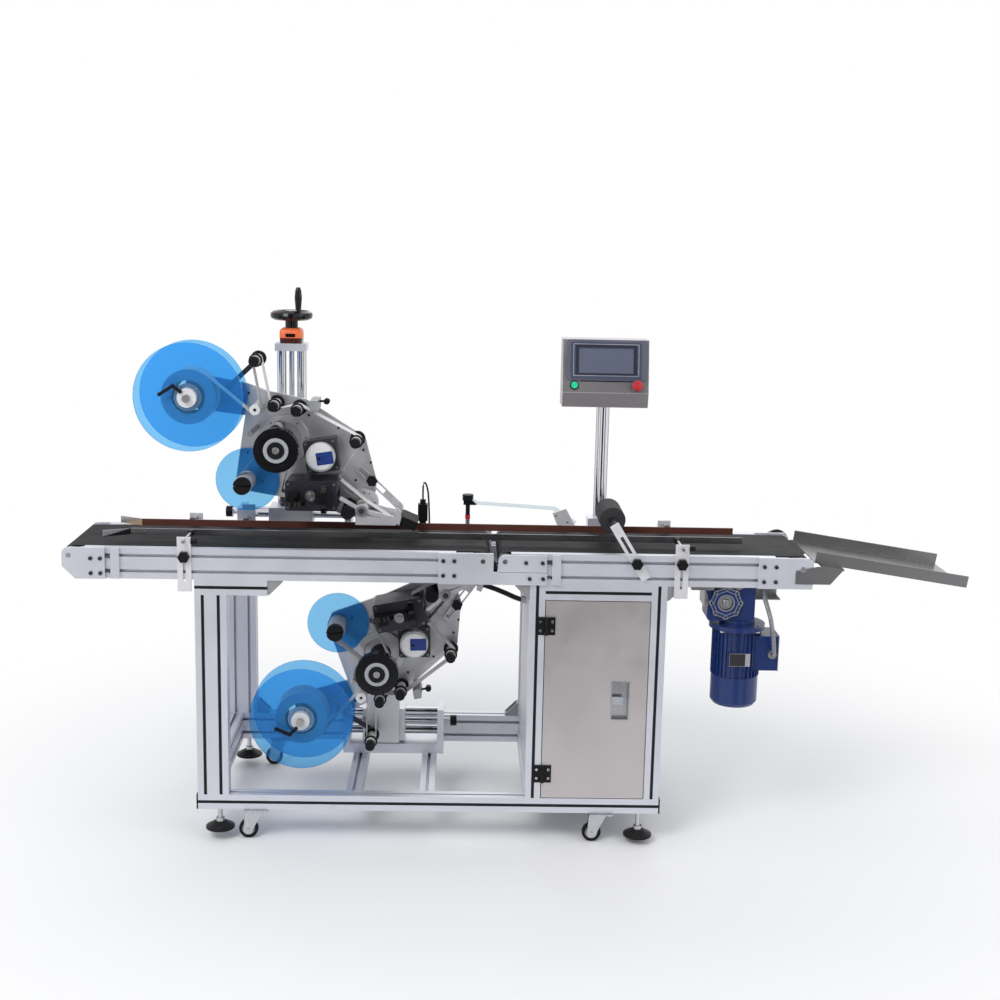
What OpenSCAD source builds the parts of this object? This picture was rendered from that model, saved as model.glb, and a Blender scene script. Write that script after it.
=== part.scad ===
// Flat surface labelling machine: a table-high frame of slotted aluminium
// profile with a control cabinet, two belt conveyors in line, and two label
// heads, one above the belts and its mirror image below them.
// X runs along the belts, Y away from the operator, Z up, in millimetres.
// The finished machine stands on the floor plane, centred on the origin.

/* [Frame] */
// Length of the base frame
base_len = 1200; // [1120:10:1400]
// Depth of the base frame
base_depth = 568; // [540:4:640]
// Height of the base beams above the floor
castor_h = 84; // [80:1:96]
// Side of the square aluminium profile
prof = 40; // [38:1:42]
// Height of the posts' top above the base beams' underside
post_h = 574; // [550:1:640]
// Clear width of the cabinet between its front posts
cab_w = 271; // [240:1:300]
// Width of a profile's slot
slot_w = 8; // [6:0.5:9]
// Diameter of a levelling foot's pad
foot_d = 75; // [60:1:80]
// Diameter of a castor's wheel
wheel_d = 50; // [44:1:54]

/* [Conveyors] */
// How far the gap between the conveyors lies in from the frame's end
joint_in = 445; // [430:1:460]
// How far the outfeed conveyor stands out past the frame
outfeed_out = 368; // [350:1:400]
// How far the infeed conveyor stands out past the frame
infeed_out = 328; // [280:1:340]
// Gap between the two conveyors
conv_gap = 12; // [8:1:20]
// Depth of a conveyor over its rails
conv_d = 300; // [290:1:310]
// Height of a conveyor's rail
rail_h = 80; // [76:1:90]
// Thickness of a conveyor's rail
rail_t = 20; // [16:1:22]
// Thickness of the belts
belt_t = 2; // [1.5:0.1:3]
// Radius of the three small rollers
roller_r = 17; // [14:0.5:18]
// Radius of the outfeed drive roller
drive_r = 24; // [20:0.5:26]
// Width of the lane between the guides
lane_w = 134; // [120:1:150]
// Length of the outfeed chute
chute_len = 400; // [300:5:450]
// Slope of the outfeed chute in degrees
chute_fall = 8.5; // [4:0.5:12]

/* [Label heads] */
// Radius of the supply reel's clear discs
supply_r = 141; // [120:1:145]
// Radius of the rewind reel's clear disc
rewind_r = 84; // [70:1:88]
// Length of the web rollers in front of the head plate
web_len = 125; // [110:1:130]
// Thickness of the head plate
plate_t = 10; // [8:0.5:12]
// Radius of the feed wheel that is turned by hand
feed_wheel_r = 57; // [50:1:58]
// Height of the upper head's feed axis above the belts
head_up = 248.7; // [240:1:280]
// Drop of the lower head's feed axis below the belts
head_down = 359; // [352:1:370]
// Tilt of the lower head in degrees
low_turn = 10.8; // [9:0.1:12]

/* [Column and panel] */
// Diameter of the column's guide rods
rod_d = 25; // [20:0.5:28]
// Height of the column's guide rods
rod_len = 426; // [400:1:480]
// Diameter of the handwheel
handwheel_d = 114; // [100:1:130]
// Diameter of the panel's chrome post
post_d = 35; // [30:1:38]
// Height of the panel's chrome post
panel_post_h = 376; // [330:1:440]
// Width of the operator panel's box
panel_w = 230; // [210:1:260]

/* [Drive] */
// Radius of the drive motor's body
motor_r = 58; // [50:1:60]
// Length of the drive motor's finned body
motor_len = 118; // [100:1:130]
// Number of cooling fins round the motor
motor_fins = 32; // [24:1:36]
// Distance between the gearbox's two axes
gear_offset = 40; // [36:1:44]

/* [Hidden] */
$fn = 48;

// Shared small values
fit = 0.05;
seat = 0.3;
over = 1;

// Frame places
base_z = castor_h;
beam_top = base_z + prof;
rear_h = 2 * prof;
top_z = base_z + post_h;
rail_z0 = top_z + prof;
cab_x0 = base_len - cab_w - 2 * prof;
cab_x1 = base_len - prof;
rear_y = base_depth - prof;
top_len = 184;
low_in = 296.5;
low_x = base_len - joint_in - low_in;
cross_in = [77.5, 114.5];
cross_x = [low_x - cross_in[0], low_x + cross_in[1]];
mid_gap = 12;
mid_by = conv_d + mid_gap;
slot_depth = 11.5;
slot_lip = 4.5;
slot_room = 14;
core_r = 3.4;
cap_t = 4;
cover_t = 3;
gusset_l = 38;
bracket_w = 34;
gusset_t = 5;

// Feet and castors
foot_in = [54, 50];
foot_x = [foot_in[0], base_len - foot_in[1]];
foot_y = [prof / 2, base_depth - prof / 2];
foot_gap = [27, 17];
pad_h = 18;
pad_top_r = 14;
stem_r = 6;
nut_r = 11;
nut_h = 9;
castor_in = 150;
castor_x = [castor_in, base_len - castor_in];
castor_y = [prof / 2, base_depth - prof / 2];
c_plate = 62;
castor_t = 3;
race_r = 19;
race_h = 7;
trail = 22;
fork_t = 2.5;
fork_in = 11;
wheel_w = 18;
hub_w = 17;
axle_r = 4;
fork_head_r = 17;
king_r = 5;

// Conveyor places
rail_z1 = rail_z0 + rail_h;
belt_drop = 1;
belt_top = rail_z1 - belt_drop;
in_x0 = -infeed_out;
in_x1 = base_len - joint_in;
out_x0 = in_x1 + conv_gap;
out_x1 = base_len + outfeed_out;
end_t = 8;
end_len = 107;
dr_len = 139;
joint_tail = 136;
small_axis_in = 17;
idler_axis_in = 27;
rail_in = 53;
rail_joint_in = 95;
outfeed_rail_in = 33;
small_z = belt_top - belt_t - roller_r;
drive_z = belt_top - belt_t - drive_r;
in_id_x = in_x0 + small_axis_in;
in_dr_x = in_x1 - idler_axis_in;
out_id_x = out_x0 + small_axis_in;
out_dr_x = out_x1 - drive_r - belt_t - 2 * fit;
belt_gap2 = 2;
belt_y0 = rail_t + belt_gap2;
belt_y1 = conv_d - rail_t - belt_gap2;
shaft_r = 6;
bed_t = 2;
bed_flange = 14;
bed_back = 8;
slot_rows = [rail_h / 4, rail_h * 3 / 4];
tension_w = 22;
ten_gap = 14;
ten_r = 4;
corner_cut = 20;
nose_r = 16;

// Guides and their brackets
guide_h = 16;
guide_t = 5;
guide_lift = 13;
mid_gy = 168;
near_y = mid_gy - lane_w / 2;
far_y = mid_gy + lane_w / 2;
guide_in = [150, 165];
guide_x0 = in_x0 + guide_in[0];
guide_x1 = out_x1 - guide_in[1];
flare_out = 34;
flare_len = 64;
guide_rod_r = 4;
guide_rod_up = 21;
rod_z = belt_top + guide_rod_up;
bracket_in = [305, 335];
bracket_x = [in_x0 + bracket_in[0], out_x1 - bracket_in[1]];
far_in = [282, 424, 342];
far_x = [in_x0 + far_in[0], in_x0 + far_in[1], out_x1 - far_in[2]];
br_w = 35;
br_t = 5;
br_h = 140;
bracket_up = 30;
bracket_top_z = rail_z1 + bracket_up;
br_slot = 7;
bracket_slot_h = 62;
block = 14;
knob_r = 15;
knob_lobe_r = 4;
knob_h = 12;
knob2_r = 8;
small_knob_h = 14;
rod_tail = 14;

// Press roller
press_in = 450;
press_x = out_x1 - press_in;
press_z = rail_z1 - slot_rows[0];
press_lean = 31.5;
arm_up = 104;
press_arm_down = 48;
arm_w = 24;
arm_t = 7;
press_slot_w = 8;
sponge_r = 34;
sponge_y0 = 102;
sponge_len = 130;
p_axle_r = 8;

// Chute
wall_h = 30;
tray_t = 2;
tray_in = 16;
chute_y0 = rail_t;
chute_y1 = conv_d - rail_t;
chute_gap = 9;
tray_rim = 9;

// Sensors over the belts
sensor_in = [188, 66];
sensor_x = in_x1 - sensor_in[0];
sens2_x = in_x1 - sensor_in[1];
sens_y = conv_d + end_t;
sensor_w = 26;
sensor_h = 46;
sensor_d = 24;

// Drive under the outfeed conveyor
gear_in = 215;
gear_drop = 44;
gear_x = out_x1 - gear_in;
gear_z = rail_z0 - gear_drop;
gear_y0 = 22;
gear_t = 78;
gear_down = 46;
gear_up = 77;
gear_half = 50;
lug_at = 38;
gear_lug_r = 6;
gear_bore_r = 9;
flange_r = 72;
flange_t = 12;
neck_h = 12;
neck_r = 46;
fan_len = 70;
fan_dome = 14;
fin_h = 5;
fin_t = 2;
motor_x = gear_x + gear_offset;
motor_y = gear_y0 + gear_t / 2;
motor_top = gear_z - gear_half;
term_out = 44;
term_w = 88;
term_h = 92;
mount_len = 46;
chain_gap = 14;
chain_y = conv_d + end_t + chain_gap;
chain_r = 24;
chain_w = 7;
chain_t = 8;

// Cabinet
pan_t = 2;
door_gap = 2;
door_t = 18;
door_wall = 2;
hinge_in = 4;
hinge_x = cab_x0 + prof + hinge_in;
hinge_y = -5;
hinge_up = [108, 506];
hinge_z = [base_z + hinge_up[0], base_z + hinge_up[1]];
hinge_h = 47;
leaf = 23;
leaf_t = 3;
knuc_r = 4.5;
pin_r = 2.5;
pull_w = 42;
pull_h = 98;
pull_in = 71;
pull_up = 308;
pull_x = cab_x1 - pull_in;
pull_z = base_z + pull_up;

// Operator panel
post_in = 284;
post_back = 34;
post_low = 20;
post_x = out_x0 + post_in;
post_y = conv_d + post_back;
post_z0 = rail_z1 - post_low;
post_z1 = post_z0 + panel_post_h;
clamp_w = 68;
clamp_h = 26;
box_over = 16;
box_low = post_z1 - box_over;
box_back = 40;
low_f = 49;
fold_y = 59;
top_f = 29;
box_fold_h = 39;
box_h = 179;
box_wall = 3;
screen_w = 190;
screen_h = 100;
screen_rise = 36;
screen_t = 5;
button_r = 8;
button_x = 84;
but_up = 20;
face_tilt = atan2(fold_y - top_f, box_h - box_fold_h);

// Head stages and lift column
head_in = 530.9;
col_off = 4.1;
col_x = in_x0 + head_in + col_off;
stage_back = 62;
col_y = conv_d + stage_back;
rod_gap = 54;
stage_rod_r = 9;
st_rod_g = 26;
stage_rod_up = 104;
stage_in = [145, 165];
st_rod_y = [col_y - st_rod_g, col_y + st_rod_g];
st_rod_z = rail_z0 + stage_rod_up;
stage_x0 = col_x - stage_in[0];
stage_x1 = col_x + stage_in[1];
stage_w = 18;
stage_t = 10;
stage_d = 92;
col_base_w = 119;
col_base_h = 42;
col_base_low = 22;
col_base_z = st_rod_z - col_base_low;
rod_z0 = col_base_z + col_base_h;
rod_z1 = rod_z0 + rod_len;
top_block_h = 20;
top_block_w = 84;
top_block_d = 60;
dial_bh = 15;
dial_h = 25;
dial_w = 50;
screw_r = 7;
wheel_neck = 22;
wheel_z = rod_z1 + top_block_h + dial_bh + dial_h + wheel_neck;
rim_h = 24;
rim_r = 10;
neck_hub_r = 17;
crank_r = 10;
crank_h = 83;
crank_at = [22, -34];
car_h = 120;
car_w = 92;
car_d = 52;

// Upper head place
up_x = in_x0 + head_in;
up_in = 54;
up_y = conv_d - up_in;
up_z = belt_top + head_up;

// Lower head place and its stage
low_back = 4.4;
low_y = conv_d - low_back;
low_z = belt_top - head_down;
low_rod_up = 96;
low_rod_z = [base_z + low_rod_up, base_z + low_rod_up + rod_gap];
low_rod_y = conv_d + stage_back;
low_st_in = [107.5, 173.5];
low_x0 = low_x - low_st_in[0];
low_x1 = low_x + low_st_in[1];
low_plate_t = 28;
low_car_in = [53.5, 64.5];
low_car_x = [low_x - low_car_in[0], low_x + low_car_in[1]];
low_car_h = 92;

// Head outline and axes, measured from the feed axis on the plate's front
plate_outline = [[-92, 134], [56, 104], [211, 6], [242, -112], [230, -214],
 [37, -167], [-112, -142], [-132, -112], [-110, 33]];
arm_outline = [[-262, 148], [-232, 166], [-100, 143], [-40, 122], [-58, 52], [-230, 72],
 [-266, 88]];
plate_round = 12;
supply_at = [-239, 115];
rewind_at = [-100.8, -112];
feed_at = [-2, -4];
nip_at = [-14, 36];
roller_at = [[-18, 98], [41, 87], [193, 7]];
white_at = [-68, 85];
grey_at = [-76, 28];
pivot = [-148, 134];
dancer_at = [-65, 213];
motor_at = [100, -37];
hub_at = [210, -168];
peel_at = [174, -173];
roll_r = 71;
ring2_r = 43;
collar_r = 25;
stub_r = 10;
cap_r = 13;
web_flange_r = 20;
band_r = 12;
post_r = 7;
feed_r = 28;
nip_r = 12;
wheel_y = 165;
wheel_t = 28;
box_at = [79, -133];
box_w = 134;
box_tall = 78;
tube_r = 24;

// Place of the finished machine: centred on the floor
reach = chute_len * cos(chute_fall);
all_x0 = in_id_x - roller_r - belt_t;
all_x1 = out_x1 + chute_gap + reach + wall_h * sin(chute_fall);
front_r = end_t + knob_h;
rear_r = foot_y[1] + foot_d / 2;
mid_x = (all_x0 + all_x1) / 2;
mid_y = (rear_r - front_r) / 2;

// A box between two opposite corners
module box(a, b) {
 translate(a) cube(b - a);
}

// Round bars along the three axes
module bar_x(x0, x1, y, z, r) {
 translate([x0, y, z]) rotate([0, 90, 0]) cylinder(h = x1 - x0, r = r);
}

module bar_y(x, z, y0, y1, r) {
 translate([x, y1, z]) rotate([90, 0, 0]) cylinder(h = y1 - y0, r = r);
}

module bar_z(x, y, z0, z1, r) {
 translate([x, y, z0]) cylinder(h = z1 - z0, r = r);
}

// An outline in X and Z between two places in Y
module sheet_y(y0, y1) {
 translate([0, y1, 0]) rotate([90, 0, 0]) linear_extrude(y1 - y0) children();
}

// An outline's corners rounded to a radius
function unit2(v) = v / norm(v);
function arc_corner(a, b, c, r, n) = let (u = unit2(a - b), v = unit2(c - b), half = acos(u * v) / 2)
 let (mid = unit2(u + v), centre = b + mid * r / sin(half))
 let (p = b + u * r / tan(half), q = b + v * r / tan(half))
 [for (k = [0:n]) let (m = unit2((p - centre) * (n - k) + (q - centre) * k)) centre + m * r];
function rounded(pts, r, n = 4) = [for (i = [0:len(pts) - 1])
 for (p = arc_corner(pts[(i + len(pts) - 1) % len(pts)], pts[i], pts[(i + 1) % len(pts)], r, n)) p];

// Slotted profile: one slot open towards +Y, and the whole section
module slot_cut() {
 translate([-slot_w / 2, -slot_lip - over]) square([slot_w, slot_lip + 2 * over]);
 translate([-slot_room / 2, -slot_depth]) square([slot_room, slot_depth - slot_lip]);
}

module profile(w, h) {
 cols = round(w / prof);
 rows = round(h / prof);
 difference() {
  square([w, h], center = true);
  for (i = [0:cols - 1]) for (side = [0, 180]) rotate(side)
   translate([(i - (cols - 1) / 2) * prof, h / 2]) slot_cut();
  for (j = [0:rows - 1]) for (side = [90, 270]) rotate(side)
   translate([(j - (rows - 1) / 2) * prof, w / 2]) slot_cut();
  for (i = [0:cols - 1]) for (j = [0:rows - 1]) translate([(i - (cols - 1) / 2) * prof,
   (j - (rows - 1) / 2) * prof]) circle(core_r);
 }
}

module beam_x(x0, x1, y0, z0, h = prof) {
 translate([x0 + fit, y0 + prof / 2, z0 + h / 2]) rotate([90, 0, 90]) linear_extrude(x1 - x0 - 2 * fit)
  profile(prof, h);
}

module beam_y(y0, y1, x0, z0, h = prof) {
 translate([x0 + prof / 2, y1 - fit, z0 + h / 2]) rotate([90, 0, 0]) linear_extrude(y1 - y0 - 2 * fit)
  profile(prof, h);
}

module post(x0, y0, z0, z1, w = prof) {
 translate([x0 + w / 2, y0 + prof / 2, z0]) linear_extrude(z1 - z0) profile(w, prof);
}

module frame_beams() {
 color([0.79, 0.8, 0.84]) {
  beam_x(0, base_len, 0, base_z);
  beam_x(0, base_len, rear_y, base_z, rear_h);
  beam_y(prof, rear_y, 0, base_z, rear_h);
  beam_y(prof, rear_y, cab_x0, base_z);
  beam_y(prof, rear_y, cab_x1, base_z, rear_h);
  for (x = cross_x) beam_y(prof, rear_y, x, base_z);
  beam_x(0, top_len, 0, top_z);
  beam_x(0, cab_x0, rear_y, top_z);
  beam_x(cab_x0 + prof, cab_x1, 0, top_z);
  beam_x(cab_x0 + prof, cab_x1, rear_y, top_z);
  for (x = [0, cab_x0, cab_x1]) beam_y(prof, rear_y, x, top_z);
  beam_x(prof, cab_x0, mid_by, top_z);
 }
}

module upright_posts() {
 color([0.79, 0.8, 0.84]) {
  post(0, 0, beam_top, top_z, 2 * prof);
  post(0, rear_y, base_z + rear_h, top_z, 2 * prof);
  for (x = [cab_x0, cab_x1]) {
   post(x, 0, beam_top, rail_z0);
   post(x, rear_y, base_z + rear_h, rail_z0);
  }
 }
}

// A die-cast angle bracket in the corner at the origin, open towards +X and +Z
module gusset() {
 leg = gusset_l;
 difference() {
  sheet_y(-bracket_w / 2, bracket_w / 2) polygon([[0, 0], [leg, 0], [leg, gusset_t],
   [gusset_t, leg], [0, leg]]);
  translate([gusset_t, -bracket_w / 2 + gusset_t, gusset_t])
   cube([leg, bracket_w - 2 * gusset_t, leg]);
  for (turn = [0, 1]) translate([turn * leg / 2, 0, (1 - turn) * leg / 2])
   rotate([0, 90 * (1 - turn), 0]) translate([0, 0, -over]) cylinder(h = leg, r = gusset_t);
 }
}

module frame_fittings() {
 color([0.74, 0.75, 0.78]) {
  for (y = [prof / 2, rear_y + prof / 2]) {
   translate([base_len, y, rail_z0]) mirror([0, 0, 1]) gusset();
   translate([cab_x0, y, y > prof ? top_z : rail_z0]) mirror([1, 0, 0]) mirror([0, 0, 1])
    gusset();
  }
  translate([top_len, prof / 2, rail_z0]) mirror([0, 0, 1]) gusset();
  translate([2 * prof, rear_y + prof / 2, top_z]) mirror([0, 0, 1]) gusset();
  translate([2 * prof, rear_y + prof / 2, base_z + rear_h]) gusset();
  translate([cab_x0, rear_y + prof / 2, base_z + rear_h]) mirror([1, 0, 0]) gusset();
  for (x = castor_x) for (y = castor_y) plate_at_c(x, y);
 }
}

module plate_at_c(x, y) {
 half = c_plate / 2;
 difference() {
  union() {
   box([x - half, y - half, base_z - castor_t], [x + half, y + half, base_z]);
   bar_z(x, y, base_z - castor_t - race_h, base_z, race_r);
  }
  bar_z(x, y, base_z - castor_t - race_h - over, base_z - castor_t, king_r + fit);
  for (i = [-1, 1]) for (j = [-1, 1]) bar_z(x + i * half * 3 / 4, y + j * half * 3 / 4,
   base_z - castor_t - over, base_z + over, king_r / 2);
 }
}

module castor_fork(x, y) {
 color([0.72, 0.74, 0.77]) {
  head_z = base_z - castor_t - race_h - seat;
  wheel_x = x - trail;
  wheel_z0 = wheel_d / 2;
  bar_z(x, y, head_z - fork_t, head_z, fork_head_r);
  bar_z(x, y, head_z - fork_t, base_z - castor_t - seat, king_r);
  for (side = [-1, 1]) sheet_y(y + side * (fork_in + fork_t / 2) - fork_t / 2,
   y + side * (fork_in + fork_t / 2) + fork_t / 2) union() {
   translate([wheel_x, wheel_z0]) circle(hub_w * 3 / 4);
   polygon([[wheel_x - hub_w * 2 / 3, wheel_z0 + 2 * fork_t],
    [wheel_x + hub_w * 2 / 3, wheel_z0 - fork_t], [x + fork_head_r - fork_t, head_z],
    [wheel_x - hub_w / 2, head_z]]);
  }
  box([wheel_x - hub_w / 2, y - fork_in - fork_t, head_z - fork_t],
   [x + fork_head_r - fork_t, y + fork_in + fork_t, head_z]);
  bar_y(wheel_x, wheel_z0, y - fork_in - 2 * fork_t, y + fork_in + 2 * fork_t, axle_r);
 }
}

module castor_wheel(x, y) {
 color([0.13, 0.13, 0.14]) translate([x - trail, y, wheel_d / 2]) rotate([90, 0, 0]) rotate_extrude()
  polygon([[axle_r + fit, -wheel_w / 2 - over], [axle_r * 2, -wheel_w / 2 - over],
  [axle_r * 2, -wheel_w / 3], [hub_w, -wheel_w / 3], [hub_w + over, -wheel_w / 2],
  [wheel_d / 2 - 2 * over, -wheel_w / 2], [wheel_d / 2, -wheel_w / 4], [wheel_d / 2, wheel_w / 4],
  [wheel_d / 2 - 2 * over, wheel_w / 2], [hub_w + over, wheel_w / 2], [hub_w, wheel_w / 3],
  [axle_r * 2, wheel_w / 3], [axle_r * 2, wheel_w / 2 + over], [axle_r + fit, wheel_w / 2 + over]]);
}

module castor_fork_fl() { castor_fork(castor_x[0], castor_y[0]); }
module castor_fork_fr() { castor_fork(castor_x[1], castor_y[0]); }
module castor_fork_rl() { castor_fork(castor_x[0], castor_y[1]); }
module castor_fork_rr() { castor_fork(castor_x[1], castor_y[1]); }
module castor_wheel_fl() { castor_wheel(castor_x[0], castor_y[0]); }
module castor_wheel_fr() { castor_wheel(castor_x[1], castor_y[0]); }
module castor_wheel_rl() { castor_wheel(castor_x[0], castor_y[1]); }
module castor_wheel_rr() { castor_wheel(castor_x[1], castor_y[1]); }

module levelling_feet() {
 color([0.12, 0.12, 0.13]) for (i = [0, 1]) for (y = foot_y) translate([foot_x[i], y, foot_gap[i]])
  rotate_extrude() polygon([[0, 0], [foot_d / 2, 0], [foot_d / 2, pad_h / 4], [pad_top_r, pad_h],
  [nut_r, pad_h], [nut_r, pad_h + nut_h], [stem_r, pad_h + nut_h],
  [stem_r, base_z - foot_gap[i] - seat], [0, base_z - foot_gap[i] - seat]]);
}

// Black strips in the frame's front slots, and end caps
module slot_covers() {
 color([0.06, 0.06, 0.07]) {
  w = slot_w - 2 * fit;
  box([0, 0, base_z + prof / 2 - w / 2], [base_len, cover_t, base_z + prof / 2 + w / 2]);
  for (x = [prof / 2, prof * 3 / 2]) box([x - w / 2, 0, beam_top], [x + w / 2, cover_t, top_z]);
  for (x = [cab_x0 + prof / 2, cab_x1 + prof / 2])
   box([x - w / 2, 0, beam_top], [x + w / 2, cover_t, rail_z0]);
  for (span = [[0, top_len], [cab_x0 + prof, cab_x1]])
   box([span[0], 0, top_z + prof / 2 - w / 2], [span[1], cover_t, top_z + prof / 2 + w / 2]);
  for (y = [0, rear_y]) for (side = [0, 1]) {
   h = y > 0 ? rear_h : prof;
   x0 = side * (base_len + cap_t) - cap_t;
   box([x0, y, base_z], [x0 + cap_t, y + prof, base_z + h]);
  }
 }
}

// A socket head screw on a face that looks towards the operator
head_r = 5;
head_h = 4;
screw_key_r = 2.4;
module socket_screw(x, z, y, out = -1) {
 difference() {
  bar_y(x, z, min(y, y + out * head_h), max(y, y + out * head_h), head_r);
  translate([x, y + out * head_h, z]) rotate([90, 0, 0])
   cylinder(h = head_h, r = screw_key_r, center = true, $fn = 6);
 }
}

module rail_section() {
 difference() {
  square([rail_t, rail_h]);
  for (row = slot_rows) translate([0, rail_h - row]) rotate(90) slot_cut();
 }
}

module rail(x0, x1) {
 for (side = [0, 1]) translate([x0, side * conv_d, rail_z0]) mirror([0, side, 0]) rotate([90, 0, 90])
  linear_extrude(x1 - x0) rail_section();
}

infeed_rail_x = [in_x0 + rail_in, in_x1 - rail_joint_in];
outfeed_rail_x = [out_x0 + outfeed_rail_in, out_x1 - rail_joint_in];
module conveyor_rails() {
 color([0.8, 0.81, 0.85]) {
  rail(infeed_rail_x[0], infeed_rail_x[1]);
  rail(outfeed_rail_x[0], outfeed_rail_x[1]);
 }
}

// Beds that carry the belts, end plates, tension blocks and the joint plates
module belt_bed(x0, x1) {
 z = belt_top - belt_t - seat;
 difference() {
  box([x0, rail_t, z - bed_flange], [x1, conv_d - rail_t, z]);
  box([x0 - over, rail_t + bed_t, z - bed_flange - over],
   [x1 + over, conv_d - rail_t - bed_t, z - bed_t]);
 }
}

module pair() {
 sheet_y(-end_t, 0) children();
 sheet_y(conv_d, conv_d + end_t) children();
}

module shaft_hole(x, z) {
 translate([x, z]) circle(shaft_r + fit);
}

step_z = rail_z0 + rail_h * 2 / 5;
id_len = 123;
step_gap = 1;
plate_drop = 3;
module conveyor_plates() {
 color([0.8, 0.81, 0.84]) {
  pair() difference() {
   polygon(concat([[in_x0 + end_len, rail_z0], [in_x0 + end_len, rail_z1]],
    arc_corner([in_x0 + end_len, rail_z1], [in_x0, rail_z1], [in_x0, rail_z0], nose_r, 6),
    [[in_x0, rail_z0 + 2 * nose_r], [in_x0 + 2 * nose_r, rail_z0]]));
   shaft_hole(in_id_x, small_z);
  }
  pair() difference() {
   polygon([[in_x1 - dr_len, rail_z0], [in_x1 + joint_tail, rail_z0],
    [in_x1 + joint_tail, step_z], [in_x1, step_z], [in_x1, rail_z1],
    [in_x1 - dr_len, rail_z1]]);
   shaft_hole(in_dr_x, small_z);
  }
  pair() difference() {
   polygon(concat([[out_x0 + id_len, step_z + step_gap],
    [out_x0 + id_len, rail_z1 - plate_drop]], arc_corner([out_x1, rail_z1 - plate_drop],
    [out_x0, rail_z1 - plate_drop], [out_x0, rail_z0], nose_r, 6),
    [[out_x0, step_z + step_gap]]));
   shaft_hole(out_id_x, small_z);
  }
  pair() difference() {
   polygon([[out_x1 - dr_len, rail_z0], [out_x1, rail_z0], [out_x1, rail_z1 - corner_cut / 2],
    [out_x1 - corner_cut / 2, rail_z1], [out_x1 - dr_len, rail_z1]]);
   shaft_hole(out_dr_x, drive_z);
  }
  pair() for (x = [in_x0 + end_len + ten_gap, out_x0 + id_len + ten_gap])
   translate([x, rail_z0 + over]) square([tension_w, rail_h - 2 * over]);
  sheet_y(conv_d, conv_d + end_t) difference() {
   polygon([[gear_x - chain_r, rail_z1 - plate_drop], [gear_x - chain_r, gear_z - chain_r],
    [gear_x + chain_r, gear_z - chain_r], [gear_x + chain_r, rail_z1 - plate_drop]]);
   translate([gear_x, gear_z]) circle(gear_bore_r + fit);
  }
 }
 color([0.66, 0.67, 0.69]) {
  belt_bed(in_id_x + roller_r + bed_back, in_dr_x - roller_r - bed_back);
  belt_bed(out_id_x + roller_r + bed_back, out_dr_x - drive_r - bed_back);
 }
}

// A belt round two rollers, both level at the top
function mirrored_over(p, c, u) = 2 * (c + ((p - c) * u) * u) - p;
module loop_area(a, ra, b, rb) {
 u = unit2(b - a);
 pa = a + [0, ra];
 pb = b + [0, rb];
 translate(a) circle(ra);
 translate(b) circle(rb);
 polygon([pa, pb, mirrored_over(pb, a, u), mirrored_over(pa, a, u)]);
}

module belt_loop(a, ra, b, rb, t) {
 difference() {
  loop_area(a, ra + t, b, rb + t);
  loop_area(a, ra, b, rb);
 }
}

module conveyor_belts() {
 color([0.2, 0.2, 0.22]) {
  sheet_y(belt_y0, belt_y1) belt_loop([in_id_x, small_z], roller_r + seat, [in_dr_x, small_z],
   roller_r + seat, belt_t - seat);
  sheet_y(belt_y0, belt_y1) belt_loop([out_id_x, small_z], roller_r + seat, [out_dr_x, drive_z],
   drive_r + seat, belt_t - seat);
 }
}

pulley_r = 14;
pulley_w = 10;
module belt_roller(x, z, r, y_end, ring_r = 0) {
 color([0.74, 0.75, 0.77]) {
  bar_y(x, z, belt_y0, belt_y1, r);
  bar_y(x, z, -end_t - over, y_end, shaft_r);
  if (ring_r > 0) bar_y(x, z, y_end - pulley_w, y_end, ring_r);
 }
}

plain_end = conv_d + end_t + over;
link_end = conv_d + end_t + pulley_w + 2 * over;
chain_end = chain_y + chain_w;
module infeed_idler_roller() { belt_roller(in_id_x, small_z, roller_r, plain_end); }
module infeed_drive_roller() { belt_roller(in_dr_x, small_z, roller_r, link_end, pulley_r); }
module outfeed_idler_roller() { belt_roller(out_id_x, small_z, roller_r, link_end, pulley_r); }
module outfeed_drive_roller() {
 belt_roller(out_dr_x, drive_z, drive_r, chain_end);
 color([0.4, 0.41, 0.43]) bar_y(out_dr_x, drive_z, chain_y, chain_end, chain_r);
}

// Output shaft and sprocket, chain, and the belt that links the conveyors
module drive_sprocket() {
 color([0.4, 0.41, 0.43]) {
  bar_y(gear_x, gear_z, gear_y0 - over, chain_end, gear_bore_r);
  bar_y(gear_x, gear_z, chain_y, chain_end, chain_r);
 }
}

module level_loop(a, b, r, t, y0, y1) {
 d = b - a;
 angle = atan2(d[1], d[0]);
 translate([a[0], 0, a[1]]) rotate([0, -angle, 0]) sheet_y(y0, y1)
  belt_loop([0, 0], r, [norm(d), 0], r, t);
}

link_belt_t = 3;
module drive_chain() {
 color([0.3, 0.3, 0.32]) level_loop([gear_x, gear_z], [out_dr_x, drive_z], chain_r + seat, chain_t,
  chain_y, chain_end);
 color([0.1, 0.1, 0.11]) level_loop([in_dr_x, small_z], [out_id_x, small_z], pulley_r + seat,
  link_belt_t, link_end - pulley_w, link_end);
}

// A wavy hand knob whose axis runs along Y
module star_knob(x, z, y0, y1, r = knob_r) {
 translate([x, 0, z]) sheet_y(y0, y1) union() {
  circle(r - knob_lobe_r / 2);
  for (i = [0:5]) rotate(i * 60) translate([r - knob_lobe_r, 0]) circle(knob_lobe_r);
 }
}

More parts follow.
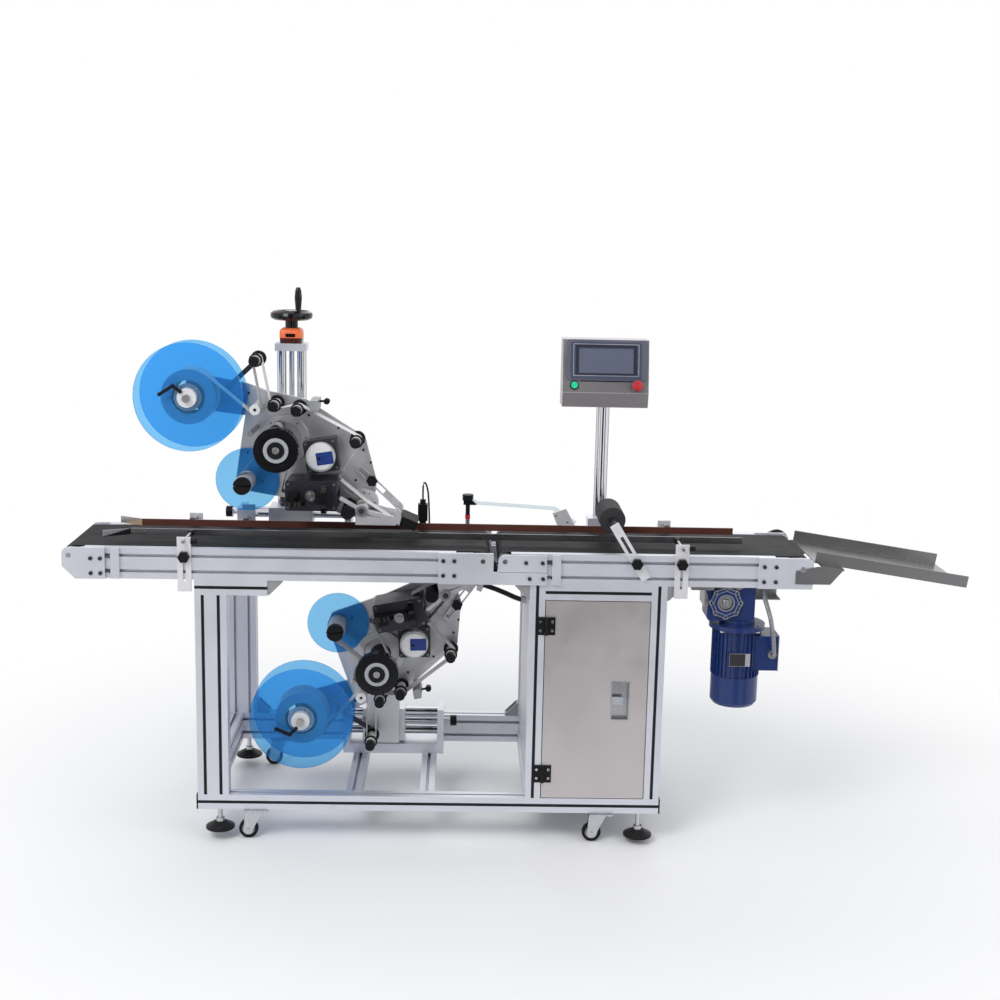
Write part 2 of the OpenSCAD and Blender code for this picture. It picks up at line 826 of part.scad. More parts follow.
// Screws: on the conveyors' plates, the tensioners and the frame brackets
plate_screws = [[in_x0, [[72, 53], [96, 53], [72, 15], [96, 15]]],
 [in_x1, [[-127, 60], [-127, 22], [-99, 60], [-99, 22], [92, 17], [126, 17]]],
 [out_x0, [[70, 58], [112, 58]]], [out_x1, [[-125, 57], [-95, 57], [-125, 18], [-95, 18]]]];
screw_rows = [19, 57];
nut_across = 4;
module screws() {
 color([0.3, 0.3, 0.32]) {
  for (set = plate_screws) for (p = set[1]) {
   socket_screw(set[0] + p[0], rail_z0 + p[1], -end_t);
   socket_screw(set[0] + p[0], rail_z0 + p[1], conv_d + end_t, 1);
  }
  for (x = [in_x0 + end_len, out_x0 + id_len]) for (row = screw_rows)
   for (y = [-end_t / 2, conv_d + end_t / 2]) {
   if (x < 0 || row > rail_h / 2) bar_x(x, x + ten_gap, y, rail_z0 + row, ten_r * 3 / 4);
   translate([x + ten_gap, y, rail_z0 + row]) rotate([0, -90, 0])
    cylinder(h = head_h, r = nut_across, $fn = 6);
  }
 }
}

// Plates on the rails, with a slot for height and a hole for the rod
module guide_plate(x, y, top_z) {
 difference() {
  box([x - br_w / 2, y, top_z - br_h], [x + br_w / 2, y + br_t, top_z]);
  bar_y(x, rod_z, y - over, y + br_t + over, guide_rod_r + fit);
  bar_y(x, press_z, y - over, y + br_t + over, br_slot / 2);
  bar_y(x, press_z - bracket_slot_h, y - over, y + br_t + over, br_slot / 2);
  box([x - br_slot / 2, y - over, press_z - bracket_slot_h],
   [x + br_slot / 2, y + br_t + over, press_z]);
 }
}

tall_bracket_up = 26;
module guide_brackets() {
 color([0.76, 0.77, 0.8]) {
  for (x = bracket_x) guide_plate(x, -br_t, bracket_top_z);
  for (x = far_x) guide_plate(x, conv_d, bracket_top_z + (x == far_x[1] ? tall_bracket_up : 0));
 }
}

knob_neck_r = 6;
module clamp_knobs() {
 color([0.09, 0.09, 0.1]) {
  for (x = bracket_x) {
   bar_y(x, press_z, -br_t - knob_h / 3, 0, knob_neck_r / 2);
   star_knob(x, press_z, -br_t - knob_h, -br_t);
   bar_x(x + br_w / 2, x + br_w / 2 + small_knob_h, -br_t / 2, rod_z,
    knob2_r);
  }
  for (x = far_x) star_knob(x, press_z, conv_d + br_t, conv_d + br_t + knob_h);
  bar_y(press_x, press_z, -end_t, 0, pivot_r);
  star_knob(press_x, press_z, -end_t - knob_h, -end_t);
 }
}

// A guide bar seen from above: straight, with a flared end at the infeed
module guide_bar(y, side, z, h) {
 y_in = side > 0 ? y : y + guide_t;
 translate([0, 0, z]) linear_extrude(h) polygon([[guide_x0, y], [guide_x1, y], [guide_x1, y + guide_t],
  [guide_x0, y + guide_t], [guide_x0 - flare_len, y + guide_t + side * flare_out],
  [guide_x0 - flare_len, y + side * flare_out]]);
}

module near_guide() {
 color([0.8, 0.86, 0.9]) {
  guide_bar(near_y, -1, belt_top + guide_lift, guide_h);
  for (x = bracket_x) {
   bar_y(x, rod_z, -br_t - rod_tail, near_y, guide_rod_r);
   box([x - block / 2, near_y - block, rod_z - block / 2],
    [x + block / 2, near_y, rod_z + block / 2]);
  }
 }
}

far_lift = 8;
far_h = 18;
module far_guide() {
 color([0.4, 0.2, 0.15]) {
  guide_bar(far_y, 1, belt_top + far_lift, far_h);
  for (x = far_x) {
   bar_y(x, rod_z, far_y + guide_t, conv_d + br_t + rod_tail / 2, guide_rod_r);
   box([x - block / 2, far_y + guide_t, rod_z - block / 2],
    [x + block / 2, far_y + guide_t + block, rod_z + block / 2]);
  }
 }
}

// Chute: a folded trough on a strap screwed to the end plates
strap_t = 3;
strap_x = [12, 70];
strap_back = 45;
strap_low = 14;
strap_high = 48;
module tray_at(y0, y1, a, b) {
 sheet_y(y0, y1) translate([out_x1 + chute_gap, belt_top - tray_in]) rotate(-chute_fall)
  translate(a) square(b - a);
}

module outfeed_chute() {
 x0 = out_x1 + chute_gap;
 z0 = belt_top - tray_in;
 color([0.68, 0.66, 0.67]) {
  for (y = [chute_y0, chute_y1 - tray_t])
   tray_at(y, y + tray_t, [0, 0], [chute_len, wall_h]);
  tray_at(chute_y0 + over, chute_y1 - over, [0, 0], [chute_len, tray_t]);
  tray_at(-end_t - strap_t, conv_d + end_t + strap_t, [strap_x[0], -strap_t],
   [strap_x[1], tray_t / 2]);
  tray_at(chute_y1 - over, chute_y1 + strap_t, [0, wall_h - tray_rim], [chute_len, wall_h]);
  for (y = [-end_t - strap_t, conv_d + end_t]) difference() {
   sheet_y(y, y + strap_t)
    polygon([[out_x1 - strap_back, rail_z0 + strap_low], [out_x1 - strap_back, rail_z0 + strap_high],
     [x0, z0 - strap_t], [x0 + strap_x[0] * cos(chute_fall), z0 - strap_x[0] * sin(chute_fall)
     - strap_t / 2], [x0 + strap_x[1] * cos(chute_fall) - strap_t, z0 - strap_x[1] * sin(chute_fall)
     - strap_t / 2], [x0 + strap_x[1] / 2, rail_z0 + strap_low]]);
   bar_y(out_dr_x, drive_z, y - over, y + strap_t + over, shaft_r + bore_clear);
  }
 }
}

// Sensors over the infeed belt and the hold-down arm across the gap
sensor_up = 20;
sens_z = rail_z1 + sensor_up;
sens_w = 18;
sens_t = 4;
sens_low = 50;
sens_kh = 12;
post2_r = 6;
post2_low = 30;
post2_z0 = rail_z1 - post2_low;
post2_d = 12;
arm2 = [[20, 63], [231, 51], [294, 12], [298, 20], [240, 60], [20, 72]];
arm2_t = 5;
red_band = [22, 34];
black_knob = [74, 90];
module product_sensors() {
 color([0.1, 0.1, 0.11]) {
  box([sensor_x - sens_w / 2, conv_d, rail_z1 - sens_low],
   [sensor_x + sens_w / 2, conv_d + sens_t, sens_z + over]);
  difference() {
   box([sensor_x - sensor_w / 2, conv_d - sensor_d / 2, sens_z],
    [sensor_x + sensor_w / 2, conv_d + sensor_d / 2, sens_z + sensor_h]);
   bar_y(sensor_x, sens_z + sensor_h / 3, conv_d - sensor_d / 2 - over,
    conv_d - sensor_d / 2 + over, knob2_r * 3 / 4);
  }
  bar_z(sensor_x, conv_d, sens_z + sensor_h, sens_z + sensor_h + sens_kh, knob2_r);
  box([sens2_x - post2_d, sens_y, post2_z0 - post2_d],
   [sens2_x + post2_d, sens_y + sens_t, post2_z0 + 2 * post2_d]);
  box([sens2_x - post2_d, sens_y, post2_z0],
   [sens2_x + post2_d, sens_y + 2 * post2_d, post2_z0 + post2_d]);
  bar_z(sens2_x, sens_y + post2_d, post2_z0, rail_z1 + black_knob[0], post2_r);
  bar_z(sens2_x, sens_y + post2_d, rail_z1 + black_knob[0], rail_z1 + black_knob[1], knob_r);
  bar_z(sens2_x, sens_y + post2_d, rail_z1 + red_band[0], rail_z1 + red_band[1], post2_r + over);
  box([sens2_x - post2_d, sens_y + post2_d / 3, rail_z1 + black_knob[0] - post2_d],
   [sens2_x + 2 * post2_d, sens_y + 2 * post2_d, rail_z1 + black_knob[0]]);
  translate([sens2_x, 0, rail_z1]) sheet_y(sens_y + post2_d - arm2_t / 2,
   sens_y + post2_d + arm2_t / 2) polygon(arm2);
 }
}

// The press roller's arm swings about its clamp screw
module press_arm() {
 color([0.72, 0.73, 0.76]) translate([press_x, 0, press_z]) rotate([0, -press_lean, 0]) {
  sheet_y(-arm_t - seat, -seat) difference() {
   translate([-arm_w / 2, -press_arm_down])
    square([arm_w, arm_up + press_arm_down + arm_w / 2]);
   circle(pivot_r + fit);
   translate([-press_slot_w / 2, arm_w]) square([press_slot_w, arm_up - 2 * arm_w]);
  }
  bar_y(0, arm_up, -end_t - over, sponge_y0 + sponge_len + over, p_axle_r);
 }
 color([0.14, 0.14, 0.15]) translate([press_x, 0, press_z]) rotate([0, -press_lean, 0])
  bar_y(0, arm_up, -seat, sponge_y0 - over, p_axle_r + over);
}

pivot_r = 5;
module sponge_roller() {
 color([0.24, 0.23, 0.25]) translate([press_x, 0, press_z]) rotate([0, -press_lean, 0])
  translate([0, sponge_y0, arm_up]) rotate([-90, 0, 0]) rotate_extrude()
  polygon([[p_axle_r + fit, 0], [sponge_r - 2 * over, 0], [sponge_r, 2 * over],
  [sponge_r, sponge_len - 2 * over], [sponge_r - 2 * over, sponge_len],
  [p_axle_r + fit, sponge_len]]);
}

// Gearbox: housing, eight-lug bearing cover, mounting angle and channel
gcap_t = 12;
gear_round = 9;
gear_cap_r = 18;
mount_t = 8;
mount_low = 58;
channel_len = 70;
channel_y0 = 48;
channel_t = 3;
channel_low = 43;
module gearbox() {
 x0 = gear_x - gear_down;
 x1 = gear_x + gear_up;
 color([0.62, 0.63, 0.64]) {
  difference() {
   union() {
    sheet_y(gear_y0, gear_y0 + gear_t) polygon(rounded([[x0, gear_z + gear_half],
     [x1, gear_z + gear_half], [x1, gear_z - gear_half], [x0, gear_z - gear_half]], gear_round));
    bar_y(gear_x, gear_z, gear_y0 - gcap_t, gear_y0, lug_at + gear_lug_r / 3);
    for (a = [0:45:315]) bar_y(gear_x + lug_at * sin(a), gear_z + lug_at * cos(a),
     gear_y0 - gcap_t, gear_y0, gear_lug_r);
   }
   bar_y(gear_x, gear_z, gear_y0 - gcap_t - over, gear_y0 + gear_t + over, gear_bore_r + fit);
   bar_y(gear_x, gear_z, gear_y0 - gcap_t - over, gear_y0 - gcap_t / 2, gear_cap_r);
   for (a = [0:45:315]) bar_y(gear_x + lug_at * sin(a), gear_z + lug_at * cos(a),
    gear_y0 - gcap_t - over, gear_y0 - gcap_t / 2, gear_lug_r / 2);
  }
  box([x0 - mount_len, 0, rail_z0 - mount_t], [x0 + gcap_t, gear_y0 + gear_t, rail_z0]);
  box([x0 - mount_t, gear_y0, rail_z0 - mount_low], [x0 + over, gear_y0 + gear_t, rail_z0 - over]);
  difference() {
   box([x1 - over, channel_y0, rail_z0 - channel_low], [x1 + channel_len, gear_y0 + gear_t,
    rail_z0 - mount_t]);
   box([x1 + channel_t, channel_y0 - over, rail_z0 - channel_low + channel_t],
    [x1 + channel_len + over, gear_y0 + gear_t - channel_t, rail_z0 - mount_t - channel_t]);
  }
 }
}

module turn_at(x, z, angle) {
 translate([x, 0, z]) rotate([0, angle, 0]) translate([-x, 0, -z]) children();
}

// Drive motor hanging under the gearbox: flange, finned body, fan cover, box
fin_in = 2;
shield_h = 7;
cover_r_out = 3;
bolt_r = 4;
bolt_ring = 64;
grille_slots = 10;
plate_dims = [54, 34];
gland_r = 11;
module motor() {
 flange_z0 = motor_top - neck_h - flange_t;
 body_z1 = flange_z0 - shield_h;
 body_z0 = body_z1 - motor_len;
 fan_z0 = body_z0 - fan_len - fan_dome;
 cover_r = motor_r + cover_r_out;
 color([0.1, 0.2, 0.43]) {
  bar_z(motor_x, motor_y, motor_top - neck_h, motor_top, neck_r);
  difference() {
   bar_z(motor_x, motor_y, flange_z0, flange_z0 + flange_t, flange_r);
   for (i = [0:3]) translate([motor_x, motor_y, flange_z0 - over]) rotate(45 + i * 90)
    translate([bolt_ring, 0, 0]) cylinder(h = flange_t + 2 * over, r = bolt_r);
  }
  bar_z(motor_x, motor_y, body_z0, flange_z0, motor_r);
  translate([motor_x, motor_y, body_z0]) for (i = [0:motor_fins - 1]) rotate(i * 360 / motor_fins)
   translate([motor_r - fin_in, -fin_t / 2, 0]) cube([fin_h + fin_in, fin_t, motor_len]);
  difference() {
   translate([motor_x, motor_y, fan_z0]) rotate_extrude()
    polygon([[0, 0], [cover_r / 2, 0], [cover_r - fan_dome / 2, fan_dome / 3], [cover_r, fan_dome],
    [cover_r, fan_dome + fan_len], [0, fan_dome + fan_len]]);
   translate([motor_x, motor_y, fan_z0 - over]) for (i = [0:grille_slots - 1])
    rotate(i * 360 / grille_slots) translate([cover_r / 4, -fin_t, 0])
    cube([cover_r / 3, 2 * fin_t, fan_dome / 2]);
  }
  box([motor_x + motor_r / 2, motor_y - term_w / 2, body_z1 - term_h - shield_h],
   [motor_x + motor_r + term_out, motor_y + term_w / 2, body_z1 - shield_h]);
  box([motor_x + motor_r + term_out, motor_y - term_w / 2 - over, body_z1 - term_h - shield_h - over],
   [motor_x + motor_r + term_out + 2 * over, motor_y + term_w / 2 + over, body_z1 - shield_h + over]);
  bar_y(conduit[0][0], conduit[0][2], conduit[0][1], motor_y - term_w / 2, gland_r);
  box([motor_x - plate_dims[0] / 2, motor_y - motor_r - fin_h - over, body_z0 + shield_h * 5],
   [motor_x + plate_dims[0] / 2, motor_y - motor_r * 3 / 4, body_z0 + shield_h * 5 + plate_dims[1]]);
 }
}

// Cables held between housings: a flexible conduit and a bundle
conduit_run = [[125, 4, -178], [125, -10, -166], [121, -12, -128], [113, -6, -78], [101, 16, -34],
 [97, 34, -8], [89, 38, 12], [67, 40, 19], [17, 50, 19], [-43, 60, 18], [-91, 78, 14], [-113, 90, -8],
 [-127, 98, -43], [-141, 100, -58]];
bundle_run = [[-369, 332, -40], [-363, 332, -53], [-329, 331, -60], [-249, 329, -66], [-149, 325,
 -76], [-79, 318, -94], [-29, 304, -112], [-9, 300, -118]];
wire_run = [[0, 0, 78], [0, 8, 114], [5, 22, 120], [13, 34, 92], [17, 30, 22], [17, 22, -48],
 [13, 16, -72]];
conduit = [for (p = conduit_run) p + [gear_x, 0, rail_z0]];
bundle = [for (p = bundle_run) p + [cab_x0, 0, rail_z0]];
sensor_wire = [for (p = wire_run) p + [sensor_x, conv_d, rail_z1]];
conduit_r = 6;
bundle_r = 7;
wire_r = 2.5;
sides = 10;
function spline(p, i, t) = let (a = p[max(i - 1, 0)], b = p[i], c = p[i + 1],
 d = p[min(i + 2, len(p) - 1)]) (b * 2 + (c - a) * t + (a * 2 - b * 5 + c * 4 - d)
 * t * t + (b * 3 - a - c * 3 + d) * t * t * t) / 2;
function smooth(p, n) = concat([for (i = [0:len(p) - 2]) for (k = [0:n - 1]) spline(p, i, k / n)],
 [p[len(p) - 1]]);
function side_of(t) = unit2(cross(t, [0.31, 0.87, 0.38]));
function way(p, i) = unit2(p[min(i + 1, len(p) - 1)] - p[max(i - 1, 0)]);
module cord(points, r, first, last, n = 2) {
 p = smooth(points, n);
 m = len(p);
 ring = [for (i = [0:m - 1]) let (t = i == 0 ? first : i == m - 1 ? last : way(p, i))
  let (u = side_of(t), v = cross(t, u)) for (k = [0:sides - 1])
  p[i] + r * (u * cos(k * 360 / sides) + v * sin(k * 360 / sides))];
 polyhedron(ring, concat([[for (k = [0:sides - 1]) k]], [[for (k = [0:sides - 1]) m * sides - 1 - k]],
  [for (i = [0:m - 2]) for (k = [0:sides - 1]) let (a = i * sides + k, b = i * sides + (k + 1) % sides)
  [b, a, a + sides, b + sides]]));
}

module cables() {
 color([0.16, 0.16, 0.17]) {
  cord(conduit, conduit_r, [0, -1, 0], [-1, 0, 0]);
  cord(bundle, bundle_r, [0, 0, -1], [1, 0, 0]);
  cord(sensor_wire, wire_r, [0, 0, 1], [0, 0, -1]);
 }
}

// Cabinet: sheet panels set a little back from the frame's faces
panel_in = 4;
module cabinet_panels() {
 y1 = rear_y;
 color([0.83, 0.83, 0.85]) {
  box([cab_x0 + panel_in, prof, beam_top], [cab_x0 + panel_in + pan_t, y1, top_z]);
  box([cab_x1 + prof - panel_in - pan_t, prof, base_z + rear_h],
   [cab_x1 + prof - panel_in, y1, top_z]);
  box([cab_x0 + prof, rear_y + prof - panel_in - pan_t, base_z + rear_h],
   [cab_x1, rear_y + prof - panel_in, top_z]);
  box([cab_x0 + prof, prof, beam_top - panel_in - pan_t], [cab_x1, y1, beam_top - panel_in]);
  box([cab_x0 + prof, prof, rail_z0 - panel_in - pan_t], [cab_x1, y1, rail_z0 - panel_in]);
  bar_x(cab_x1 + prof - panel_in, conduit[len(conduit) - 1][0], conduit[len(conduit) - 1][1],
   conduit[len(conduit) - 1][2], gland_r);
  bar_x(bundle[len(bundle) - 1][0], cab_x0 + panel_in, bundle[len(bundle) - 1][1],
   bundle[len(bundle) - 1][2], gland_r);
 }
}

// Door: a folded tray on its two hinges, with a flush pull let into it
pull_depth = 13;
pull_rim = 3;
module cabinet_door() {
 x0 = cab_x0 + prof + door_gap;
 x1 = cab_x1 - door_gap;
 z0 = beam_top + door_gap;
 z1 = top_z - door_gap;
 color([0.84, 0.84, 0.86]) {
  difference() {
   box([x0, 0, z0], [x1, door_t, z1]);
   box([x0 + door_wall, door_wall, z0 + door_wall], [x1 - door_wall, door_t + over, z1 - door_wall]);
   box([pull_x - pull_w / 2, -over, pull_z - pull_h / 2],
    [pull_x + pull_w / 2, door_t, pull_z + pull_h / 2]);
  }
  difference() {
   box([pull_x - pull_w / 2 - pull_rim, -pull_rim / 2, pull_z - pull_h / 2 - pull_rim],
    [pull_x + pull_w / 2 + pull_rim, pull_depth + pull_rim, pull_z + pull_h / 2 + pull_rim]);
   box([pull_x - pull_w / 2, -pull_rim, pull_z - pull_h / 2],
    [pull_x + pull_w / 2, pull_depth, pull_z + pull_h / 2]);
  }
  box([pull_x - pull_w / 2, over, pull_z - pull_w / 4],
   [pull_x + pull_w / 6, over + pull_rim, pull_z + pull_w / 4]);
  bar_y(pull_x - pull_w / 4, pull_z, over, pull_depth, pull_rim * 2);
  for (z = hinge_z) difference() {
   union() {
    bar_z(hinge_x, hinge_y, z - hinge_h / 6 + seat, z + hinge_h / 6 - seat, knuc_r);
    box([hinge_x, -leaf_t, z - hinge_h / 6 + seat],
     [hinge_x + knuc_r + seat, 0, z + hinge_h / 6 - seat]);
    box([hinge_x + knuc_r + seat, -leaf_t, z - hinge_h / 2], [hinge_x + leaf, 0, z + hinge_h / 2]);
   }
   bar_z(hinge_x, hinge_y, z - hinge_h, z + hinge_h, pin_r + fit);
  }
 }
}

// The hinges' fixed leaves on the post, with their pins and screws
module door_hinges() {
 color([0.08, 0.08, 0.09]) for (z = hinge_z) {
  bar_z(hinge_x, hinge_y, z - hinge_h / 2, z + hinge_h / 2, pin_r);
  for (side = [-1, 1]) {
   zc = z + side * hinge_h / 3;
   bar_z(hinge_x, hinge_y, zc - hinge_h / 6, zc + hinge_h / 6, knuc_r);
   box([hinge_x - knuc_r - seat, -leaf_t, zc - hinge_h / 6], [hinge_x, 0, zc + hinge_h / 6]);
   bar_y(hinge_x - leaf * 2 / 3, z + side * hinge_h / 4, -leaf_t - over, 0, head_r * 2 / 3);
  }
  box([hinge_x - leaf, -leaf_t, z - hinge_h / 2], [hinge_x - knuc_r - seat, 0, z + hinge_h / 2]);
 }
}

// Control gear: back plate, wiring ducts, controller, drives and relays
board_in = 12;
board_y = rear_y + board_in;
board_t = 3;
board_side = 20;
duct_w = 30;
gear_rows = [[[8, 90, 62], [102, 40, 58], [146, 30, 50]], [[10, 60, 80], [78, 60, 80], [146, 60, 66]],
 [[8, 24, 46], [36, 24, 46], [64, 24, 46], [92, 36, 52], [134, 60, 40]]];
row_z = [200, 340, 500];
row_h = [90, 110, 80];
module control_gear() {
 x0 = cab_x0 + prof + board_side;
 x1 = cab_x1 - board_side;
 color([0.7, 0.71, 0.72]) {
  box([x0, board_y - board_t, row_z[0] - duct_w], [x1, board_y, row_z[2] + row_h[2] + duct_w]);
  for (x = [x0 + board_side, x1 - board_side]) for (z = [row_z[0], row_z[2] + row_h[2]])
   bar_y(x, z, board_y, rear_y + prof - panel_in - pan_t, pin_r * 2);
  for (r = [0:2]) {
   for (b = gear_rows[r]) box([x0 + b[0], board_y - board_t - b[2], row_z[r]],
    [x0 + b[0] + b[1], board_y - board_t, row_z[r] + row_h[r]]);
   box([x0, board_y - board_t - duct_w, row_z[r] + row_h[r] + over],
    [x1, board_y - board_t, row_z[r] + row_h[r] + duct_w - 4 * over]);
  }
 }
}

// Operator panel: post in its clamp, folded box, screen and two push buttons
sleeve_t = 5;
sleeve_h = 20;
module panel_post() {
 color([0.8, 0.82, 0.85]) {
  bar_z(post_x, post_y, post_z0, post_z1, post_d / 2);
  difference() {
   box([post_x - clamp_w / 2, conv_d, rail_z1 + clamp_h / 4],
    [post_x + clamp_w / 2, post_y + clamp_h, rail_z1 + clamp_h / 4 + clamp_h]);
   box([post_x - over, post_y, rail_z1], [post_x + over, post_y + clamp_h + over,
    rail_z1 + 2 * clamp_h]);
  }
  box([post_x - clamp_w / 2, conv_d, rail_z0 + 2 * end_t],
   [post_x + clamp_w / 2, conv_d + end_t, rail_z1 + clamp_h / 4 + over]);
  for (x = [-clamp_w / 3, clamp_w / 3]) for (z = slot_rows)
   socket_screw(post_x + x, rail_z1 - z, conv_d + end_t, 1);
 }
}

module box_side(inset) {
 d = box_wall * inset;
 polygon([[-low_f + d, d], [-fold_y + d, box_fold_h], [-top_f + d, box_h - d],
  [box_back - d, box_h - d], [box_back - d, d]]);
}

module along_x(x0, x1) {
 translate([x0, 0, 0]) rotate([90, 0, 90]) linear_extrude(x1 - x0) children();
}

module on_face() {
 translate([post_x, post_y - fold_y, box_low + box_fold_h]) rotate([90 - face_tilt, 0, 0])
  children();
}

ring_r = 12;
ring_h = 3;
but_r = 5;
module panel_box() {
 color([0.56, 0.54, 0.56]) {
  difference() {
   union() {
    translate([post_x, post_y, box_low]) difference() {
     along_x(-panel_w / 2, panel_w / 2) box_side(0);
     along_x(-panel_w / 2 + box_wall, panel_w / 2 - box_wall) box_side(1);
    }
    bar_z(post_x, post_y, box_low, box_low + sleeve_h, post_d / 2 + sleeve_t);
   }
   bar_z(post_x, post_y, box_low - over, post_z1 + seat, post_d / 2 + fit);
   on_face() for (side = [-1, 1]) translate([side * button_x, but_up, -2 * box_wall])
    cylinder(h = 4 * box_wall, r = but_r + fit);
  }
  on_face() for (side = [-1, 1]) translate([side * button_x, but_up, 0]) difference() {
   cylinder(h = ring_h, r = ring_r);
   translate([0, 0, -over]) cylinder(h = ring_h + 2 * over, r = ring_r - 2 * over);
  }
 }
}

glass_in = [22, 17];
module panel_screen() {
 color([0.28, 0.3, 0.38]) on_face() translate([-screen_w / 2, screen_rise, 0]) difference() {
  linear_extrude(screen_t) polygon(rounded([[0, 0], [screen_w, 0], [screen_w, screen_h],
   [0, screen_h]], 5));
  translate([glass_in[0], glass_in[1], screen_t - over])
   cube([screen_w - 2 * glass_in[0], screen_h - 2 * glass_in[1], 2 * over]);
 }
}

lift = 4.5;
stem_in = 12;
module start_button() {
 color([0.24, 0.86, 0.59]) on_face() translate([-button_x, but_up, 0]) {
  translate([0, 0, -stem_in]) cylinder(h = stem_in + lift + over, r = but_r);
  translate([0, 0, lift]) cylinder(h = lift, r = button_r + over);
 }
}

mushroom_r = 14;
module stop_button() {
 color([0.78, 0.16, 0.2]) on_face() translate([button_x, but_up, 0]) {
  translate([0, 0, -stem_in]) cylinder(h = stem_in + 2 * lift, r = but_r);
  translate([0, 0, 2 * lift]) rotate_extrude() polygon([[0, 0], [mushroom_r * 2 / 3, 0],
   [mushroom_r, lift], [mushroom_r, lift * 4 / 3], [mushroom_r * 3 / 4, lift * 2], [0, lift * 7 / 3]]);
 }
}

// Stages: one across the frame's top, one on its floor beams
end_bolt_r = 5;
bore_clear = 2;
low_block_h = 100;
low_gap = 16;
low_sy = conv_d + low_gap;
low_stage_d = 94;
module stage_ends(xs, wall, y0, y1, z0, z1) {
 box([xs[0], y0, z0], [xs[0] + wall, y1, z1]);
 box([xs[1] - wall, y0, z0], [xs[1], y1, z1]);
}

module head_stages() {
 y0 = col_y - stage_d / 2;
 y1 = col_y + stage_d / 2;
 color([0.77, 0.78, 0.8]) {
  box([stage_x0, y0, rail_z0], [stage_x1, rear_y + prof / 2, rail_z0 + stage_t]);
  stage_ends([stage_x0, stage_x1], stage_w, y0, y1, rail_z0 + stage_t, st_rod_z + 2 * stage_rod_r);
  for (y = st_rod_y) bar_x(stage_x0 + stage_w / 2, stage_x1 - stage_w / 2, y, st_rod_z,
   stage_rod_r);
  bar_x(stage_x0 - stage_w, stage_x1 - stage_w / 2, col_y, st_rod_z, screw_r);
  bar_x(stage_x0 - 2 * stage_w, stage_x0 - stage_w, col_y, st_rod_z, knob_r);
  box([low_x0, low_sy, beam_top], [low_x1, low_sy + low_stage_d,
   beam_top + low_plate_t]);
  stage_ends([low_x0, low_x1], stage_w, low_sy, low_sy + low_stage_d,
   beam_top + low_plate_t, beam_top + low_plate_t + low_block_h);
  for (z = low_rod_z) bar_x(low_x0 + stage_w / 2, low_x1 - stage_w / 2, low_rod_y, z,
   rod_d / 2);
  bar_x(low_x0 + stage_w / 2, low_x1 + stage_w, low_rod_y, (low_rod_z[0] + low_rod_z[1])
   / 2, screw_r);
  bar_x(low_x1 + stage_w, low_x1 + 2 * stage_w, low_rod_y, (low_rod_z[0] + low_rod_z[1])
   / 2, knob_r);
 }
}

// Column: its foot slides on the upper stage, and rods carry the head
module lift_column() {
 x0 = col_x - col_base_w / 2;
 x1 = col_x + col_base_w / 2;
 y0 = col_y - stage_d / 2;
 y1 = col_y + stage_d / 2;
 dial_z = rod_z1 + top_block_h;
 color([0.78, 0.79, 0.82]) {
  difference() {
   box([x0, y0, col_base_z], [x1, y1, rod_z0]);
   for (y = st_rod_y) bar_x(x0 - over, x1 + over, y, st_rod_z, stage_rod_r + fit);
   bar_x(x0 - over, x1 + over, col_y, st_rod_z, screw_r + bore_clear);
  }
  for (side = [-1, 1]) bar_z(col_x + side * rod_gap / 2, col_y, rod_z0 - end_bolt_r,
   rod_z1 + over, rod_d / 2);
  bar_z(col_x, col_y, rod_z0 - over, rod_z1 + over, screw_r);
  box([col_x - top_block_w / 2, col_y - top_block_d / 2, rod_z1],
   [col_x + top_block_w / 2, col_y + top_block_d / 2, dial_z]);
 }
 color([0.9, 0.42, 0.22]) difference() {
  union() {
   bar_z(col_x, col_y, dial_z, dial_z + dial_bh, dial_w / 2);
   bar_z(col_x, col_y, dial_z + dial_bh, dial_z + dial_bh + dial_h, dial_w / 2 - over);
  }
  bar_z(col_x, col_y, dial_z + end_bolt_r, wheel_z, wheel_shaft_r + fit);
 }
}

wheel_shaft_r = 8;
wheel_holes_r = 11;
wheel_web = 10;
module handwheel() {
 r = handwheel_d / 2;
 dial_top = rod_z1 + top_block_h + dial_bh + dial_h;
 color([0.08, 0.08, 0.09]) translate([col_x, col_y, 0]) {
  translate([0, 0, dial_top - dial_h]) cylinder(h = dial_h + seat + over, r = wheel_shaft_r);
  translate([0, 0, dial_top + seat]) cylinder(h = wheel_z - dial_top, r = neck_hub_r);
  difference() {
   translate([0, 0, wheel_z]) rotate_extrude() polygon([[0, 0], [neck_hub_r, 0],
    [r - rim_r * 2, wheel_web / 2], [r - rim_r, 0], [r - over * 2, rim_h / 5], [r, rim_h / 2],
    [r - over * 2, rim_h * 4 / 5], [r - rim_r, rim_h], [r - rim_r * 2, rim_h * 3 / 4],
    [neck_hub_r * 4 / 3, wheel_web], [neck_hub_r, rim_h], [0, rim_h]]);
   for (i = [0:2]) rotate(i * 120 + 60) translate([r / 2 + over, 0, wheel_z - over])
    cylinder(h = rim_h + 2 * over, r = wheel_holes_r);
  }
  translate([crank_at[0], crank_at[1], wheel_z + wheel_web / 2]) rotate_extrude()
   polygon([[0, 0], [crank_r / 2, 0], [crank_r / 2, rim_h], [crank_r * 3 / 4, rim_h],
   [crank_r, crank_h * 2 / 3], [crank_r * 4 / 5, crank_h * 9 / 10], [crank_r / 2, crank_h],
   [0, crank_h]]);
 }
}

// Label heads. All their pieces are drawn once from the feed axis: X along the
// plate, Z up it, and Y = 0 on its front. The lower head is the mirror image.
module at_upper() {
 translate([up_x, up_y, up_z]) children();
}

module at_lower() {
 translate([low_x, low_y, low_z]) rotate([0, -low_turn, 0]) mirror([0, 0, 1]) children();
}

